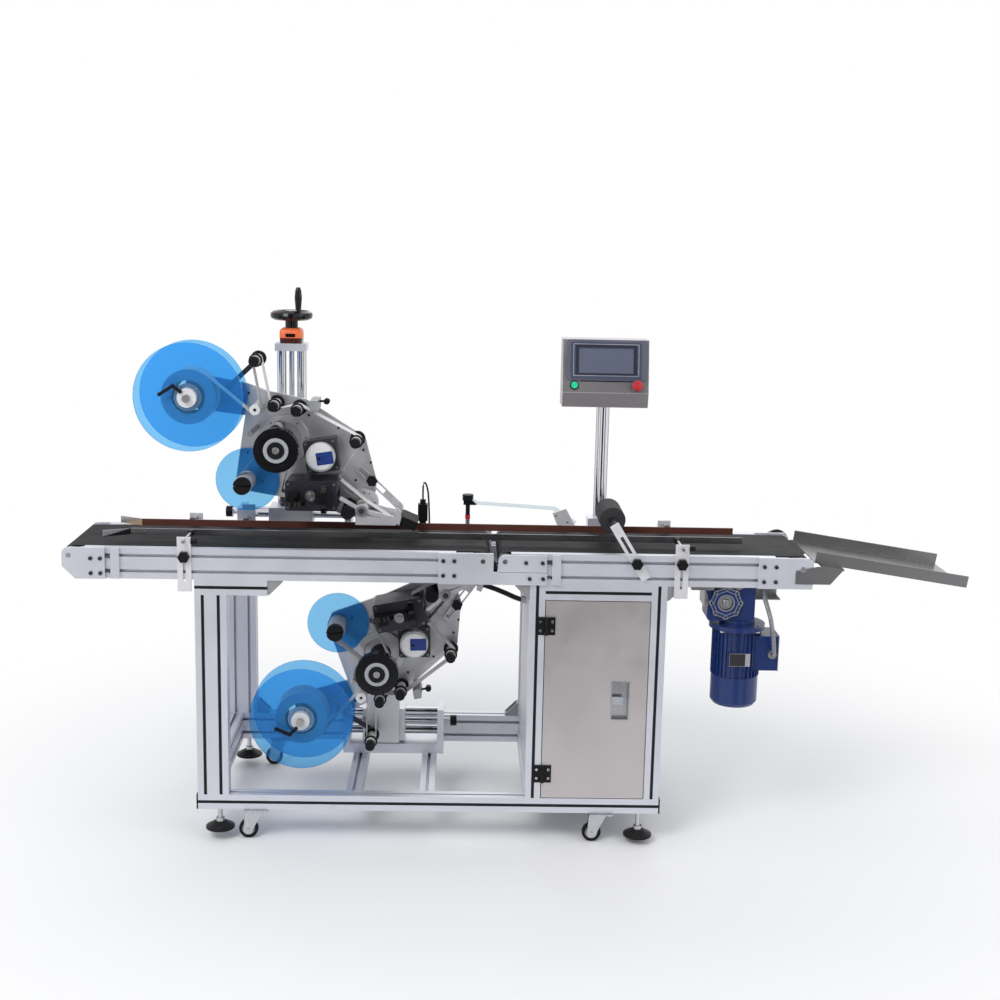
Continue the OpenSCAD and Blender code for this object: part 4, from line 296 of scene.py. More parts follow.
def piece(name, body, parts):
    """One object of lofted parts, drawn in mm of the CAD's base frame, riding on a body."""
    kinds = list(dict.fromkeys(m for part in parts for m in part[3]))
    first = np.cumsum([0] + [len(part[0]) for part in parts])
    points = (np.concatenate([part[0] for part in parts]) - MID) / 1000
    loops = np.concatenate([part[1] + start for part, start in zip(parts, first)])
    sizes = np.concatenate([part[2] for part in parts])
    which = np.concatenate([np.array([kinds.index(m) for m in part[3]])[part[4]] for part in parts])
    mesh = bpy.data.meshes.new(name)
    mesh.vertices.add(len(points))
    mesh.vertices.foreach_set("co", points.ravel())
    mesh.loops.add(len(loops))
    mesh.loops.foreach_set("vertex_index", loops.astype(np.int32))
    mesh.polygons.add(len(sizes))
    mesh.polygons.foreach_set("loop_start", (np.cumsum(sizes) - sizes).astype(np.int32))
    for m in kinds:
        mesh.materials.append(m)
    mesh.polygons.foreach_set("material_index", which.astype(np.int32))
    mesh.update(calc_edges=True)
    mesh.shade_smooth()
    mesh.set_sharp_from_angle(angle=0.6)
    o = bpy.data.objects.new(name, mesh)
    bpy.context.scene.collection.objects.link(o)
    if body:
        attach(o, body)
    return o


rubber = surface("hard rubber", (0.009, 0.009, 0.01), rough=0.6, scale=900, depth=0.25, dust=0.03,
                 Specular_IOR_Level=0.12)
grey_plastic = surface("grey plastic", (0.32, 0.33, 0.35), rough=0.5, scale=1500, depth=0.15)
axle_z, core_r = 25, 16.5
wheel_x = (128, 1028)
plate_x, plate_y, plate_z = (150, 1050), (20, 548), 81.2
bolt_off = 23.25
bolt_head = [(0, 0), (0, 5.5), (3.4, 5.5), (4, 4.7), (4, 0)]
piece("castor_bolts", "frame", [
    turned((x + dx, y + dy, plate_z), (0, 0, -1.0), bolt_head, zinc, 6)
    for x in plate_x for y in plate_y for dx in (-bolt_off, bolt_off) for dy in (-bolt_off, bolt_off)])
for corner in ("fl", "fr", "rl", "rr"):
    paint("castor_fork_" + corner, zinc)
    paint("castor_wheel_" + corner, rubber, (grey_plastic, lambda x, y, z: np.hypot(
        z - axle_z, np.min([abs(x - at) for at in wheel_x], axis=0)) < core_r))

# Conveyors
# Two belt conveyors of extruded side rails and milled plates; the belts run
# over folded beds and turned rollers, and socket screws hold the plates.

FRONT = (0.0, -1.0, 0.0)  # the axis towards the operator
LINE = (-400, 1600)  # along both conveyors, with room past their ends


def within(x0, x1, y0, y1, z0, z1):
    """A test for faces whose centre lies in the box, in mm."""
    return lambda x, y, z: (x > x0) & (x < x1) & (y > y0) & (y < y1) & (z > z0) & (z < z1)


steel = surface("brushed stainless", (0.46, 0.455, 0.46), metal=1.0, rough=0.3, scale=260,
                stretch=(1, 12, 12), depth=0.06, vary=0.14, dust=0.06)
belt = surface("belt cover", (0.014, 0.0145, 0.017), rough=0.6, scale=1600, depth=0.3, vary=0.2,
               dust=0.02, Specular_IOR_Level=0.1)
dark_steel = surface("blackened steel", (0.05, 0.05, 0.056), metal=0.6, rough=0.4, scale=900,
                     depth=0.08, edge=0.4, edge_color=(0.3, 0.3, 0.32, 1), dust=0.03)
between_rails, bed_level, drive_side = (20.5, 279.5), (740, 780), 305
paint("conveyor_rails", anodised)
paint("conveyor_plates", anodised, (steel, within(*LINE, *between_rails, *bed_level)))
paint("conveyor_belts", belt)
paint("screws", dark_steel)
shaft_end = -7.9
end_profile = [(0, 0), (0, 5.4), (0.7, 5.2), (0.7, 4), (0.3, 3.6), (0.3, 2.2), (0.9, 1.9), (0.9, 0)]
for roller, x, z in (("infeed_idler_roller", -311, 758), ("infeed_drive_roller", 728, 758),
                     ("outfeed_idler_roller", 784, 758), ("outfeed_drive_roller", 1541.9, 751)):
    paint(roller, steel, (dark_steel, lambda x, y, z: y > drive_side))
    piece(roller + "_end", roller, [turned((x, shaft_end, z), FRONT, end_profile,
                                           [steel] * 3 + [dark_steel] * 2 + [steel] * 2)])

# Product guides
# A drawn steel bar in front and a brown plastic one behind, flared at the
# infeed, on rods that black star knobs clamp in milled brackets.

pale = surface("clear anodised", (0.75, 0.75, 0.77), metal=0.4, rough=0.38, scale=900, depth=0.04,
               vary=0.06, edge=0.2, dust=0.05)
drawn = surface("drawn steel", (0.2, 0.195, 0.2), metal=1.0, rough=0.3, scale=200, stretch=(1, 14, 14),
                depth=0.08, vary=0.3, edge=0.3, edge_color=(0.5, 0.5, 0.52, 1), dust=0.03)
brown = surface("brown guide", (0.1, 0.03, 0.02), rough=0.4, scale=500, depth=0.1, dust=0.1)
tan = surface("tan guide end", (0.42, 0.3, 0.2), rough=0.45, scale=600, depth=0.1)
near_rods = within(*LINE, -60, 86.5, 700, 900)
near_knobs = within(*LINE, 86.9, 100.9, 780, 810)
far_rods = within(-300, LINE[1], 254.5, 400, 700, 900)
far_knobs = within(-170, LINE[1], 240.5, 254.4, 780, 810)
tan_end = -180
paint("guide_brackets", pale)
paint("clamp_knobs", black)
paint("near_guide", drawn, (steel, near_rods), (black, near_knobs))
paint("far_guide", brown, (tan, lambda x, y, z: x < tan_end), (steel, far_rods), (black, far_knobs))

# Press arm
# A milled arm that swings about its clamp screw on the near rail carries the
# foam roller on an axle with a black sleeve.

foam = surface("foam", (0.03, 0.029, 0.032), rough=0.95, scale=700, depth=0.9, vary=0.4)
sleeve_end = 100.5
paint("press_arm", pale, (black, lambda x, y, z: (y > 0) & (y < sleeve_end)))
paint("sponge_roller", foam)

# Sensor and hold-down arm
# A black sensor on a flat bracket over the infeed belt, and on a rod with a
# red ring a clear sheet arm that reaches across the gap to a screwed plate.


def slab(outline, y0, y1, finish):
    """A flat part: an outline of (x, z) points, anticlockwise to the eye, carried from y1 to y0."""
    return loft([np.insert(outline, 1, y, axis=1) for y in (y1, y0)], finish)


def cap_screw(at, axis, r, finish, socket_shade):
    """A socket screw's head of radius r: a chamfered cylinder with a socket sunk in its front, all
    its sizes being shares of r. The socket's wall and floor take the last finish, a painted shade."""
    buried, tall, deep, mouth, bottom = -0.5, 0.65 * r, 0.2 * r, 0.5 * r, 0.45 * r
    return turned(at, axis, [(buried, 0), (buried, r), (0.5 * r, r), (tall, 0.85 * r), (tall, mouth),
                             (deep, bottom), (deep, 0)], [finish] * 4 + [socket_shade] * 2, 12)


red = surface("red plastic", (0.5, 0.02, 0.03), rough=0.3, scale=800, depth=0.03)
clear = surface("clear acrylic", (0.82, 0.87, 0.9), rough=0.12, depth=0.02, dust=0.05,
                clear=(0.14, (0.88, 0.93, 0.95)))
bracket = within(555, 580, 300.5, 310, 700, 797)
red_ring = within(680, 698, 300, 335, 799, 813)
hold_down = within(702, 1000, 300, 340, 780, 860)
rod_foot = within(676, 702, 300, 335, 730, 798)
paint("product_sensors", black, (anodised, bracket), (red, red_ring), (clear, hold_down),
      (steel, rod_foot))
plate_front = 315.9
plate_outline = np.array([(935.0, 785.0), (984, 785), (958, 833), (921, 820)])
# The plate's screws get black sockets: painted shade in the zinc heads.
piece("sensor_plate", "frame", [slab(plate_outline, plate_front, 317.6, pale)] + [
    cap_screw((x, plate_front, z), FRONT, 2.6, zinc, black) for x, z in ((931, 814), (962, 796))])

# Outfeed chute
# A sloping trough folded from stainless sheet, on a strap that is screwed to
# the outfeed conveyor's end plates.

chute_steel = surface("folded stainless", (0.3, 0.295, 0.3), metal=1.0, rough=0.3, scale=220,
                      stretch=(1, 14, 14), depth=0.05, vary=0.16, dust=0.06)
paint("outfeed_chute", chute_steel)

# Gearbox
# A worm gearbox in a cast, blue enamelled housing, hung from a steel angle and
# channel; eight bolts hold its lobed cover round the end of the shaft.

blue = surface("blue enamel", (0.004, 0.023, 0.125), rough=0.28, scale=500, depth=0.12, vary=0.18,
               edge=0.2, edge_color=(0.12, 0.18, 0.35, 1), dust=0.05)
# Near black for the motor's name plate and for painted shade in the gearbox's shaft recess.
name_plate_and_recess_shade = surface("dark name plate and recess shade", (0.03, 0.028, 0.03), metal=0.3, rough=0.35, scale=600, depth=0.04)
GEAR_X, GEAR_Z = 1353, 654
left_face, right_face, top_face, hub_r = 1306.9, 1430.5, 691, 18.2
# Inside the cover, round the shaft's end, the housing is painted near black: painted shade in the recess.
paint("gearbox", blue,
      (steel, lambda x, y, z: (x > right_face) | (x < left_face) | (z > top_face)),
      (name_plate_and_recess_shade, lambda x, y, z: (np.hypot(x - GEAR_X, z - GEAR_Z) < hub_r) & (y > 10.1) & (y < 22)))


def rim(outer, inner, y0, y1, finish):
    """A flat band between two outlines of as many (x, z) points: the rings outer back, outer front,
    inner front and inner back, joined and closed."""
    return loft([np.insert(outline, 1, y, axis=1) for outline, y in (
        (outer, y1), (outer, y0), (inner, y0), (inner, y1))], finish, closed=True)


def lobed(r, swell, n=128):
    """An outline round the gearbox's shaft that swells out at each of the eight bolts, by a bell
    curve of the angle from the bolt."""
    t = np.arange(n) * 2 * math.pi / n
    reach = r + swell * np.exp(-(((t * 4 / math.pi + 0.5) % 1 - 0.5) * 4.2) ** 2)
    return np.stack([GEAR_X + reach * np.cos(t), GEAR_Z + reach * np.sin(t)], 1)


def bolt_circle(u, v, r, degrees):
    """Points on a circle about (u, v) at the angles given."""
    a = np.radians(degrees)
    return np.stack([u + r * np.cos(a), v + r * np.sin(a)], 1)


cover_front, cover_back = 9.5, 10.5
seal = [(0, 9.4), (0, 17.5), (2.4, 17.2), (2.4, 13), (1.2, 12.4), (1.2, 9.4), (0, 9.4)]
bolt_ring = [(0, 3.2), (0, 5.4), (1, 5.1), (1, 3.5), (0, 3.2)]
piece("gearbox_cap", "frame", [
    rim(lobed(38.9, 4.6), lobed(36.6, 4.2), cover_front, cover_back, steel),
    rim(lobed(31, 1.6), lobed(28.8, 1.6), cover_front, cover_back, steel),
    rim(lobed(22.4, 0), lobed(18.6, 0), cover_front - 0.2, cover_back, steel),
    turned((GEAR_X, 17, GEAR_Z), FRONT, seal, steel, 32),
] + [turned((x, 10.2, z), FRONT, bolt_ring, steel, 20)
     for x, z in bolt_circle(GEAR_X, GEAR_Z, 38, range(0, 360, 45))])
piece("gear_shaft_end", "drive_sprocket", [turned((GEAR_X, 21.5, GEAR_Z), FRONT, [
    (0, 0), (0, 8.6), (8.2, 8.6), (9, 7.8), (9, 3.4), (4, 3), (4, 0)], zinc, 32)])

# Motor
# A fin-cooled three-phase motor with a cast housing in the same blue, bolted
# by its flange under the gearbox, with a blank plate and a terminal box.


def tile(x, z, w, h, r=2.0, turn=0.0):
    """A rectangle with rounded corners about its centre, turned by degrees: each corner's arc is
    the corner's centre plus r times the cosine and sine of its angles."""
    quarter = np.repeat(np.arange(4), 4)
    side = np.array([(1, 1), (-1, 1), (-1, -1), (1, -1)])[quarter]
    a = np.radians(quarter * 90 + np.tile([0, 30, 60, 90], 4))
    u, v = (side * (w / 2 - r, h / 2 - r) + r * np.stack([np.cos(a), np.sin(a)], 1)).T
    c, s = math.cos(math.radians(turn)), math.sin(math.radians(turn))
    return np.stack([x + u * c - v * s, z + u * s + v * c], 1)


plate_alu = surface("bare plate", (0.6, 0.6, 0.62), metal=0.9, rough=0.35, scale=600, depth=0.04)
MOTOR_X, MOTOR_Y, flange_top = 1393, 61, 580.4
plate_base = within(MOTOR_X - 26, MOTOR_X + 26, -50, -1.9, 480, 535)
gland = within(1460, LINE[1], -50, 16, 500, 540)
paint("motor", blue, (plate_alu, plate_base), (steel, gland))
piece("motor_nameplate", "frame", [slab(tile(1387, 507, 40, 32), -3.7, -2.8, name_plate_and_recess_shade),
                                   slab(tile(1413.5, 507, 11, 32), -3.7, -2.8, plate_alu)])
flange_bolt = [(0, 0), (0, 7), (4.6, 7), (5.4, 6), (5.4, 0)]
piece("flange_bolts", "frame", [turned((x, y, flange_top), (0, 0, -1.0), flange_bolt, zinc, 6)
                                for x, y in bolt_circle(MOTOR_X, MOTOR_Y, 64, (45, 135, 225, 315))])

# Chain drive
# A roller chain behind the rear rail runs from the gearbox's steel sprocket
# to the belt roller; a short rubber belt ties the two conveyors together.

paint("drive_sprocket", steel, (dark_steel, lambda x, y, z: y > drive_side))
short_belt = within(700, 800, 300, 340, 700, 800)
paint("drive_chain", dark_steel, (rubber, short_belt))

# Cables
# A black jacketed bundle from the heads and the sensor's wire; the motor's
# leads run in a ribbed metal conduit to a gland in the cabinet.

cable = surface("cable jacket", (0.013, 0.013, 0.015), rough=0.45, scale=900, depth=0.15,
                Specular_IOR_Level=0.3)
conduit = surface("flexible conduit", (0.33, 0.33, 0.36), metal=0.9, rough=0.35, scale=330,
                  stretch=(0.12, 0.12, 1), depth=1.0, vary=0.5, dust=0.0)
conduit_from = 1180
paint("cables", cable, (conduit, lambda x, y, z: (x > conduit_from) & (y < 120)))

# Cabinet
# Powder-coated sheet panels between the posts, set a little back from the
# frame's faces.

sheet_paint = surface("powder coat", (0.55, 0.55, 0.58), rough=0.42, scale=1500, depth=0.08,
                      vary=0.05, dust=0.06)
paint("cabinet_panels", sheet_paint)

# Cabinet door
# A folded stainless door with a flush pull, on two black hinges that are
# screwed to the post and to the door.

door_steel = surface("satin stainless", (0.6, 0.565, 0.56), metal=0.8, rough=0.4, scale=240,
                     stretch=(14, 14, 1), depth=0.05, vary=0.1, dust=0.04)
pull_light = surface("pull insert", (0.5, 0.52, 0.56), metal=0.6, rough=0.3, scale=700, depth=0.03)
PULL_X, PULL_Z, hinge_edge, hinge_front = 1089, 392, 917, -2.9
pull = within(PULL_X - 24.5, PULL_X + 24.5, -2, 17, PULL_Z - 52.5, PULL_Z + 52.5)
insert = within(1068.2, 1097, 0.5, 13, PULL_Z - 11.5, PULL_Z + 11.5)
paint("cabinet_door", door_steel, (zinc, pull), (pull_light, insert),
      (black, lambda x, y, z: (x < hinge_edge) & (y < -0.05)))
# Black sockets in the zinc heads: painted shade.
piece("door_screws", "cabinet_door", [
    cap_screw((908.3, hinge_front, hinge + off), FRONT, 3.6, zinc, black)
    for hinge in (192, 590) for off in (-11.75, 11.75)])
paint("door_hinges", black, (zinc, lambda x, y, z: (x < 886) & (y < -3.05)))

# Control gear
# Controller, drives and relays clipped on rails of a zinc-plated back plate,
# with slotted wiring ducts between their rows.


def either(*tests):
    """A test that is passed where any of the given ones is."""
    return lambda x, y, z: np.any([test(x, y, z) for test in tests], axis=0)


duct_blue = surface("wiring duct", (0.3, 0.34, 0.36), rough=0.55)
relay = surface("relay plastic", (0.5, 0.5, 0.46), rough=0.45)
back_plate = 536


def row(z0, z1):
    """A test for the gear in front of the back plate between two heights."""
    return within(*LINE, -50, back_plate, z0, z1)


paint("control_gear", zinc, (black, row(0, 430)), (relay, row(480, 580.5)),
      (duct_blue, either(row(290, 317), row(450.5, 477), row(580.6, 900))))

# Operator panel
# A folded stainless box with a framed touch screen on a chrome tube, which
# stands in an anodised clamp on the far rail and lets the panel turn.

chrome = surface("chrome", (0.7, 0.71, 0.74), metal=1.0, rough=0.09, depth=0.01, vary=0.04,
                 dust=0.02, Specular_Tint=(0.12, 0.12, 0.14, 1))
# The panel's edges get a light colour through the edge mask: a painted highlight along its folds and
# edges, not wear.
grey_paint = surface("panel stainless", (0.36, 0.335, 0.35), metal=0.85, rough=0.36, scale=220,
                     stretch=(1, 14, 14), depth=0.05, vary=0.14, edge=0.9, edge_color=(0.8, 0.79, 0.8, 1))
rim_blue = surface("screen rim", (0.06, 0.068, 0.11), rough=0.35, scale=1500, depth=0.1)
screen = surface("screen", (0.115, 0.13, 0.18), rough=0.16, depth=0.01, vary=0.05)
POST_X, POST_Y, tube_r, clamp_top = 1051, 334, 18, 815
FOLD_Y, FOLD_Z, LEAN = 275, 1157, math.radians(12.1)  # the face's lower fold and how far it leans back
button_x = (967, 1135)


def on_collar(x, y, z):
    """A test for the buttons' collars, which stand out from the leaning face."""
    ahead = y < FOLD_Y - 0.6 + (z - FOLD_Z) * math.tan(LEAN)
    beside = np.min([abs(x - at) for at in button_x], axis=0) < 13
    return beside & ahead & (z > 1160) & (z < 1195) & (y < 280.5)


paint("panel_post", chrome,
      (anodised, lambda x, y, z: (np.hypot(x - POST_X, y - POST_Y) > tube_r) & (z < clamp_top)))
paint("panel_box", grey_paint, (black, on_collar))
paint("panel_screen", rim_blue, (screen, lambda x, y, z: (abs(x - POST_X) < 72.5) & (abs(z - 1241) < 34)))


def on_face(part):
    """A part drawn as x across, z up from the fold and -y outwards, its y and z axes turned back
    by the lean and set at the fold."""
    p = part[0]
    c, s = math.cos(LEAN), math.sin(LEAN)
    leaning = np.stack([p[:, 0], p[:, 2] * s + p[:, 1] * c, p[:, 2] * c - p[:, 1] * s], 1)
    return (leaning + (POST_X, FOLD_Y, FOLD_Z), *part[1:])


bezel = surface("bezel edge", (0.15, 0.155, 0.21), metal=0.3, rough=0.3, scale=1500, depth=0.03)
# Light grey for the bezel's inner line and for a painted highlight along the panel's fold.
bezel_line_and_fold_highlight = surface("bezel line and fold highlight", (0.5, 0.51, 0.56), metal=0.4, rough=0.3, scale=1500, depth=0.02)
bezel_dark = surface("bezel inner", (0.025, 0.027, 0.045), rough=0.3, scale=1500, depth=0.02)
piece("panel_bezel_and_fold_highlight", "panel", [on_face(part) for part in (
    rim(tile(1, 87.8, 214, 109, 8), tile(0, 86, 189, 99, 4), -4.4, -0.2, bezel),
    rim(tile(0, 88, 176, 86, 2), tile(0, 88, 173, 83, 1.5), -5.5, -4.8, bezel_line_and_fold_highlight),
    rim(tile(0, 88, 164, 80, 2), tile(0, 86.6, 146.5, 69, 1), -5.4, -4.8, bezel_dark),
    slab(tile(0, 31.7, 138, 2, 0.5), -1.2, -0.1, black),
    # A thin light strip laid along the face's lower fold: a painted highlight on the folded edge.
    slab(tile(0, 0.9, 228.5, 1.6, 0.5), -0.4, 0.4, bezel_line_and_fold_highlight))])

# Push buttons
# A green start button and a red stop mushroom, moulded and pressed in
# against a spring.

green = surface("green button", (0.02, 0.62, 0.28), rough=0.25, depth=0.02)
paint("start_button", green)
paint("stop_button", red)

# Head stages
# One stage lies across the frame's top and one on its floor beams: milled
# blocks with chrome rods between them, locked by black knobs.

upper_rods = within(81, 353, 320, 600, 792, 812)
lower_rods = within(371, 612, 320, 600, 166, 248)
knobs_left, knobs_right = 43, 650
paint("head_stages", anodised, (chrome, either(upper_rods, lower_rods)),
      (black, lambda x, y, z: (x < knobs_left) | (x > knobs_right)))

# Lift column
# Its foot slides on the upper stage and its chrome rods carry the upper head;
# a moulded orange indicator with a dark base and window shows the height.

orange = surface("indicator", (0.85, 0.16, 0.04), rough=0.35, depth=0.03)
gloss = surface("polished bakelite", (0.008, 0.008, 0.009), rough=0.1, depth=0.02, dust=0.02,
                Specular_IOR_Level=0.3)
red_dark = surface("dial base", (0.06, 0.012, 0.01), rough=0.3, depth=0.05)
rods_from, rods_to, INDICATOR_Z, base_top = 822.5, 1247.5, 1268.3, 1283.1
cover = [(0, 0), (0, 29), (9, 30), (14, 30), (14.5, 30.8), (31, 30.2), (37, 27.5), (40.4, 22), (40.4, 0)]
piece("indicator_cover", "lift_column", [turned((207, 362, INDICATOR_Z), (0, 0, 1.0), cover,
                                                [red_dark] * 3 + [orange] * 5, 64, 7.0)])
piece("indicator_window", "lift_column", [slab(tile(207, 1290, 26, 9, 1.5), 330.6, 332, gloss)])
paint("lift_column", anodised, (chrome, lambda x, y, z: (z > rods_from) & (z < rods_to)),
      (black, lambda x, y, z: (z > INDICATOR_Z - 0.1) & (z < base_top)),
      (orange, lambda x, y, z: z > base_top))

# Handwheel
# A moulded and polished bakelite wheel with a turning grip, pinned to the top
# end of the lift screw.

paint("handwheel", gloss)

# Head plates
# Milled plates with web rollers on fixed pins; a bracket, a strut and star
# knobs hold each to its stage, and the lower one hangs as a mirror image.

UP = np.array([202.9, 246.0, 1025.7])  # feed axis of the upper head, mm
LOW = np.array([458.5, 295.6, 418.0])  # feed axis of the lower head, mm
TURN = math.radians(10.8)  # tilt of the lower head
HEADS = ("upper", "lower")


def from_axis(head, p):
    """Points drawn about a head's feed axis in the base frame: the upper head's are only shifted,
    the lower one's mirrored in height, turned by its tilt and shifted."""
    if head == "upper":
        return p + UP
    x, y, z = p.T
    c, s = math.cos(TURN), math.sin(TURN)
    return np.stack([x * c + z * s, y, x * s - z * c], 1) + LOW


def fitted(head, part):
    """A part drawn about the feed axis, set on its head; the lower head's mirroring turns every
    face round, so the points of each are counted backwards."""
    p, loops, sizes, steps, which = part
    if head == "lower":
        starts = np.cumsum(sizes) - sizes
        loops = loops[np.repeat(2 * starts + sizes - 1, sizes) - np.arange(len(loops))]
    return from_axis(head, p), loops, sizes, steps, which


def paint_head(head, name, base, *rules):
    """paint, with tests written in the head's own x and z from the feed axis and y from its plate,
    where the turn and the mirroring are undone."""
    def own(test):
        def placed(x, y, z):
            if head == "upper":
                return test(x - UP[0], y - UP[1], z - UP[2])
            x, y, z = x - LOW[0], y - LOW[1], z - LOW[2]
            c, s = math.cos(TURN), math.sin(TURN)
            return test(x * c + z * s, y, x * s - z * c)
        return placed
    paint(head + "_" + name, base, *[(finish, own(test)) for finish, test in rules])


def round_at(point, r, y0, y1):
    """A test for faces within r of an axis through the point (x, z), between two depths."""
    return lambda x, y, z: (np.hypot(x - point[0], z - point[1]) < r) & (y > y0) & (y < y1)


bright = surface("milled plate", (0.66, 0.66, 0.69), metal=0.6, rough=0.36, scale=300,
                 stretch=(10, 1, 1), depth=0.05, vary=0.08, edge=0.2, dust=0.03)
white_roll = surface("white roller", (0.66, 0.67, 0.68), rough=0.4, depth=0.04)
FIRST, WIPER_HUB = (-68, 85), (210, -168)
ROLLERS = [(-18, 98), (41, 87), (193, 7), (-14, 36)]
roller_sides = either(*[round_at(p, 20.5, -126, -0.2) for p in ROLLERS])
roller_sleeves = either(*[round_at(p, 12.6, -94.9, -35.1) for p in ROLLERS])
first_roller = round_at(FIRST, 14.5, -95, -0.1)
grey_roller = round_at((-76, 28), 7.5, -130, -0.1)
strut_knob = round_at((230.2, -108.3), 16, -40, -12.1)
hub_tube = round_at(WIPER_HUB, 17.5, -132, -15.1)
for head in HEADS:
    paint_head(head, "head_plate", bright, (black, roller_sides), (white_roll, roller_sleeves),
               (white_roll, first_roller), (steel, grey_roller), (black, strut_knob), (steel, hub_tube))

# Feed units
# The feed motor on its square block, the dark anodised pinch box with two
# adjusting discs, and the label sensor; all are screwed to the plate.

MOTOR, BLOCK_TURN = (100, -37), 9
box_dark = surface("dark anodised", (0.045, 0.045, 0.06), metal=0.5, rough=0.33, scale=900,
                   depth=0.06, edge=0.3, edge_color=(0.3, 0.3, 0.34, 1), dust=0.04)


def tilted(x0, z0, turn, dx, dz, y0, y1):
    """A test for faces in a block about the axis (x0, z0), turned by degrees, between two depths:
    its half sizes are measured along the turned axes."""
    c, s = math.cos(math.radians(turn)), math.sin(math.radians(turn))
    return lambda x, y, z: ((abs((x - x0) * c + (z - z0) * s) < dx) & (y > y0) & (y < y1)
                            & (abs((z - z0) * c - (x - x0) * s) < dz))


def level_disc(x, y, z):
    """A test for the adjusting disc that turns about an upright axis."""
    return (np.hypot(x - 35, y + 150) < 33.6) & (abs(z + 144) < 6.6)


def upright_disc(x, y, z):
    """A test for the adjusting disc that turns about an axis along the line."""
    return (np.hypot(z + 135, y + 150) < 37.6) & (abs(x - 116) < 7.6)


motor_block = tilted(*MOTOR, BLOCK_TURN, 43.5, 43.5, -62.05, -53.95)
motor_can = round_at(MOTOR, 39, -400, -62.05)
box_front = -121.1
label_sensor = within(84 - 10.2, 84 + 10.2, -400, 0.1, 99 - 13.2, 99 + 13.2)
sensor_knob = within(96, 400, -400, 400, 80, 400)
for head in HEADS:
    paint_head(head, "feed_unit", box_dark, (dark_steel, motor_block), (white_roll, motor_can),
               (black, lambda x, y, z: y < box_front), (gloss, level_disc), (gloss, upright_disc),
               (casting, label_sensor), (black, sensor_knob))

# Reels
# The label roll turns between two clear blue discs on a hub with a lever; the
# empty web winds up on a tube with one such disc and a slit cap.

acrylic = surface("blue acrylic", (0.08, 0.42, 0.9), rough=0.08, depth=0.01, dust=0.0,
                  clear=(0.16, (0.55, 0.84, 1.0)))
acrylic_edge = surface("blue acrylic edge", (0.12, 0.5, 0.95), rough=0.2, depth=0.02, dust=0.0,
                       clear=(0.6, (0.5, 0.8, 1.0)))
paper = surface("label paper", (0.74, 0.74, 0.72), rough=0.6, scale=900, depth=0.05, vary=0.04,
                dust=0.0)
blue_flange = surface("tinted flange", (0.14, 0.28, 0.5), metal=0.7, rough=0.3, depth=0.03)
SUPPLY, REWIND = (-239, 115), (-100.8, -112)


def beyond(point, r):
    """A test for faces farther than r from the axis through the point."""
    return lambda x, y, z: np.hypot(x - point[0], z - point[1]) > r


def lever(x, y, z):
    """A test for the clamping lever, which turns in front of the supply hub's nose."""
    return beyond(SUPPLY, 10.2)(x, y, z) & (y > -115.2) & (y < -110.05)


discs, disc_edges = round_at(SUPPLY, 142, -90.1, -4.9), beyond(SUPPLY, 140)
label_roll, roll_core = round_at(SUPPLY, 71.5, -84.1, -11.9), round_at(SUPPLY, 43.5, -85.9, -9.1)
flange, nose = round_at(SUPPLY, 37, -93.5, -90.05), round_at(SUPPLY, 26, -110.05, -93.05)
tube, slit_cap = round_at(REWIND, 25, -95.1, -8.05), round_at(REWIND, 25, -112, -95.05)
axle = round_at(REWIND, 10, -3.9, 20)
for head in HEADS:
    paint_head(head, "supply_reel", steel, (acrylic, discs), (acrylic_edge, disc_edges),
               (paper, label_roll), (black, roll_core), (blue_flange, flange), (white_roll, nose),
               (black, lever))
    paint_head(head, "rewind_reel", acrylic, (acrylic_edge, beyond(REWIND, 83.5)),
               (white_roll, tube), (black, slit_cap), (steel, axle))
    # Black sockets in the zinc heads: painted shade.
    piece(head + "_reel_screws", head + "_supply_reel", [
        fitted(head, cap_screw((x, -93, z), FRONT, 2.8, zinc, black))
        for x, z in bolt_circle(*SUPPLY, 30.5, (45, 135, 225, 315))])

# Feed wheels
# A rubber feed roller on a steel spindle in the plate's bearing ring, with a
# big ribbed bakelite wheel in front to turn it by hand.

FEED = (-2, -4)
hub = [(194.6, 0), (194.6, 9), (197, 9), (198, 8), (198, 3.6), (195.8, 3.2), (195.8, 0)]
spindle, sleeve = round_at(FEED, 44, -12.1, 12), round_at(FEED, 28.5, -164.9, -12.1)
grey_ring, wheel_face = round_at(FEED, 32.5, -194, -192.5), round_at(FEED, 22.5, -200, -193.5)
for head in HEADS:
    paint_head(head, "feed_wheel", gloss, (steel, spindle), (rubber, sleeve), (grey_plastic, grey_ring),
               (black, wheel_face))
    piece(head + "_wheel_hub", head + "_feed_wheel", [
        fitted(head, turned((FEED[0], 0, FEED[1]), FRONT, hub, steel, 32))])

# Dancer arms
# A dark anodised arm pivots on the supply arm and keeps the web tight with
# the white roller at its end.

DANCER = (-65, 213)
roller_profile = [(35, 0), (35, 12), (84.5, 12), (84.5, 17.6), (89.5, 17.6), (89.5, 13.2), (104, 13.2),
                  (104, 0)]
for head in HEADS:
    paint_head(head, "dancer_arm", box_dark, (black, round_at(DANCER, 21, -126, 1.9)))
    piece(head + "_dancer_roller", head + "_dancer_arm", [
        fitted(head, turned((DANCER[0], 0, DANCER[1]), FRONT, roller_profile,
                            [white_roll] * 2 + [black] * 3 + [white_roll] * 2, 32))])

# Peel arms
# Two milled side plates hang on the hub's tube with a rubber roller, the thin
# edge where the label leaves the web, and a rubber wiper past it.

NIP = (174, -173)
roller_end, roller_body = round_at(NIP, 17.9, -400, -124.05), round_at(NIP, 17.9, -115.9, -28.1)
wiper = tilted(331, -202, -22.5, 22.7, 12.2, -118.1, -21.9)
for head in HEADS:
    paint_head(head, "peel_arm", bright, (rubber, either(roller_end, roller_body)), (rubber, wiper))

# Head fittings
# What is screwed to the plates: roller caps and collars, socket screws, the
# feed wheel's bearing ring and the blank label on the motor.

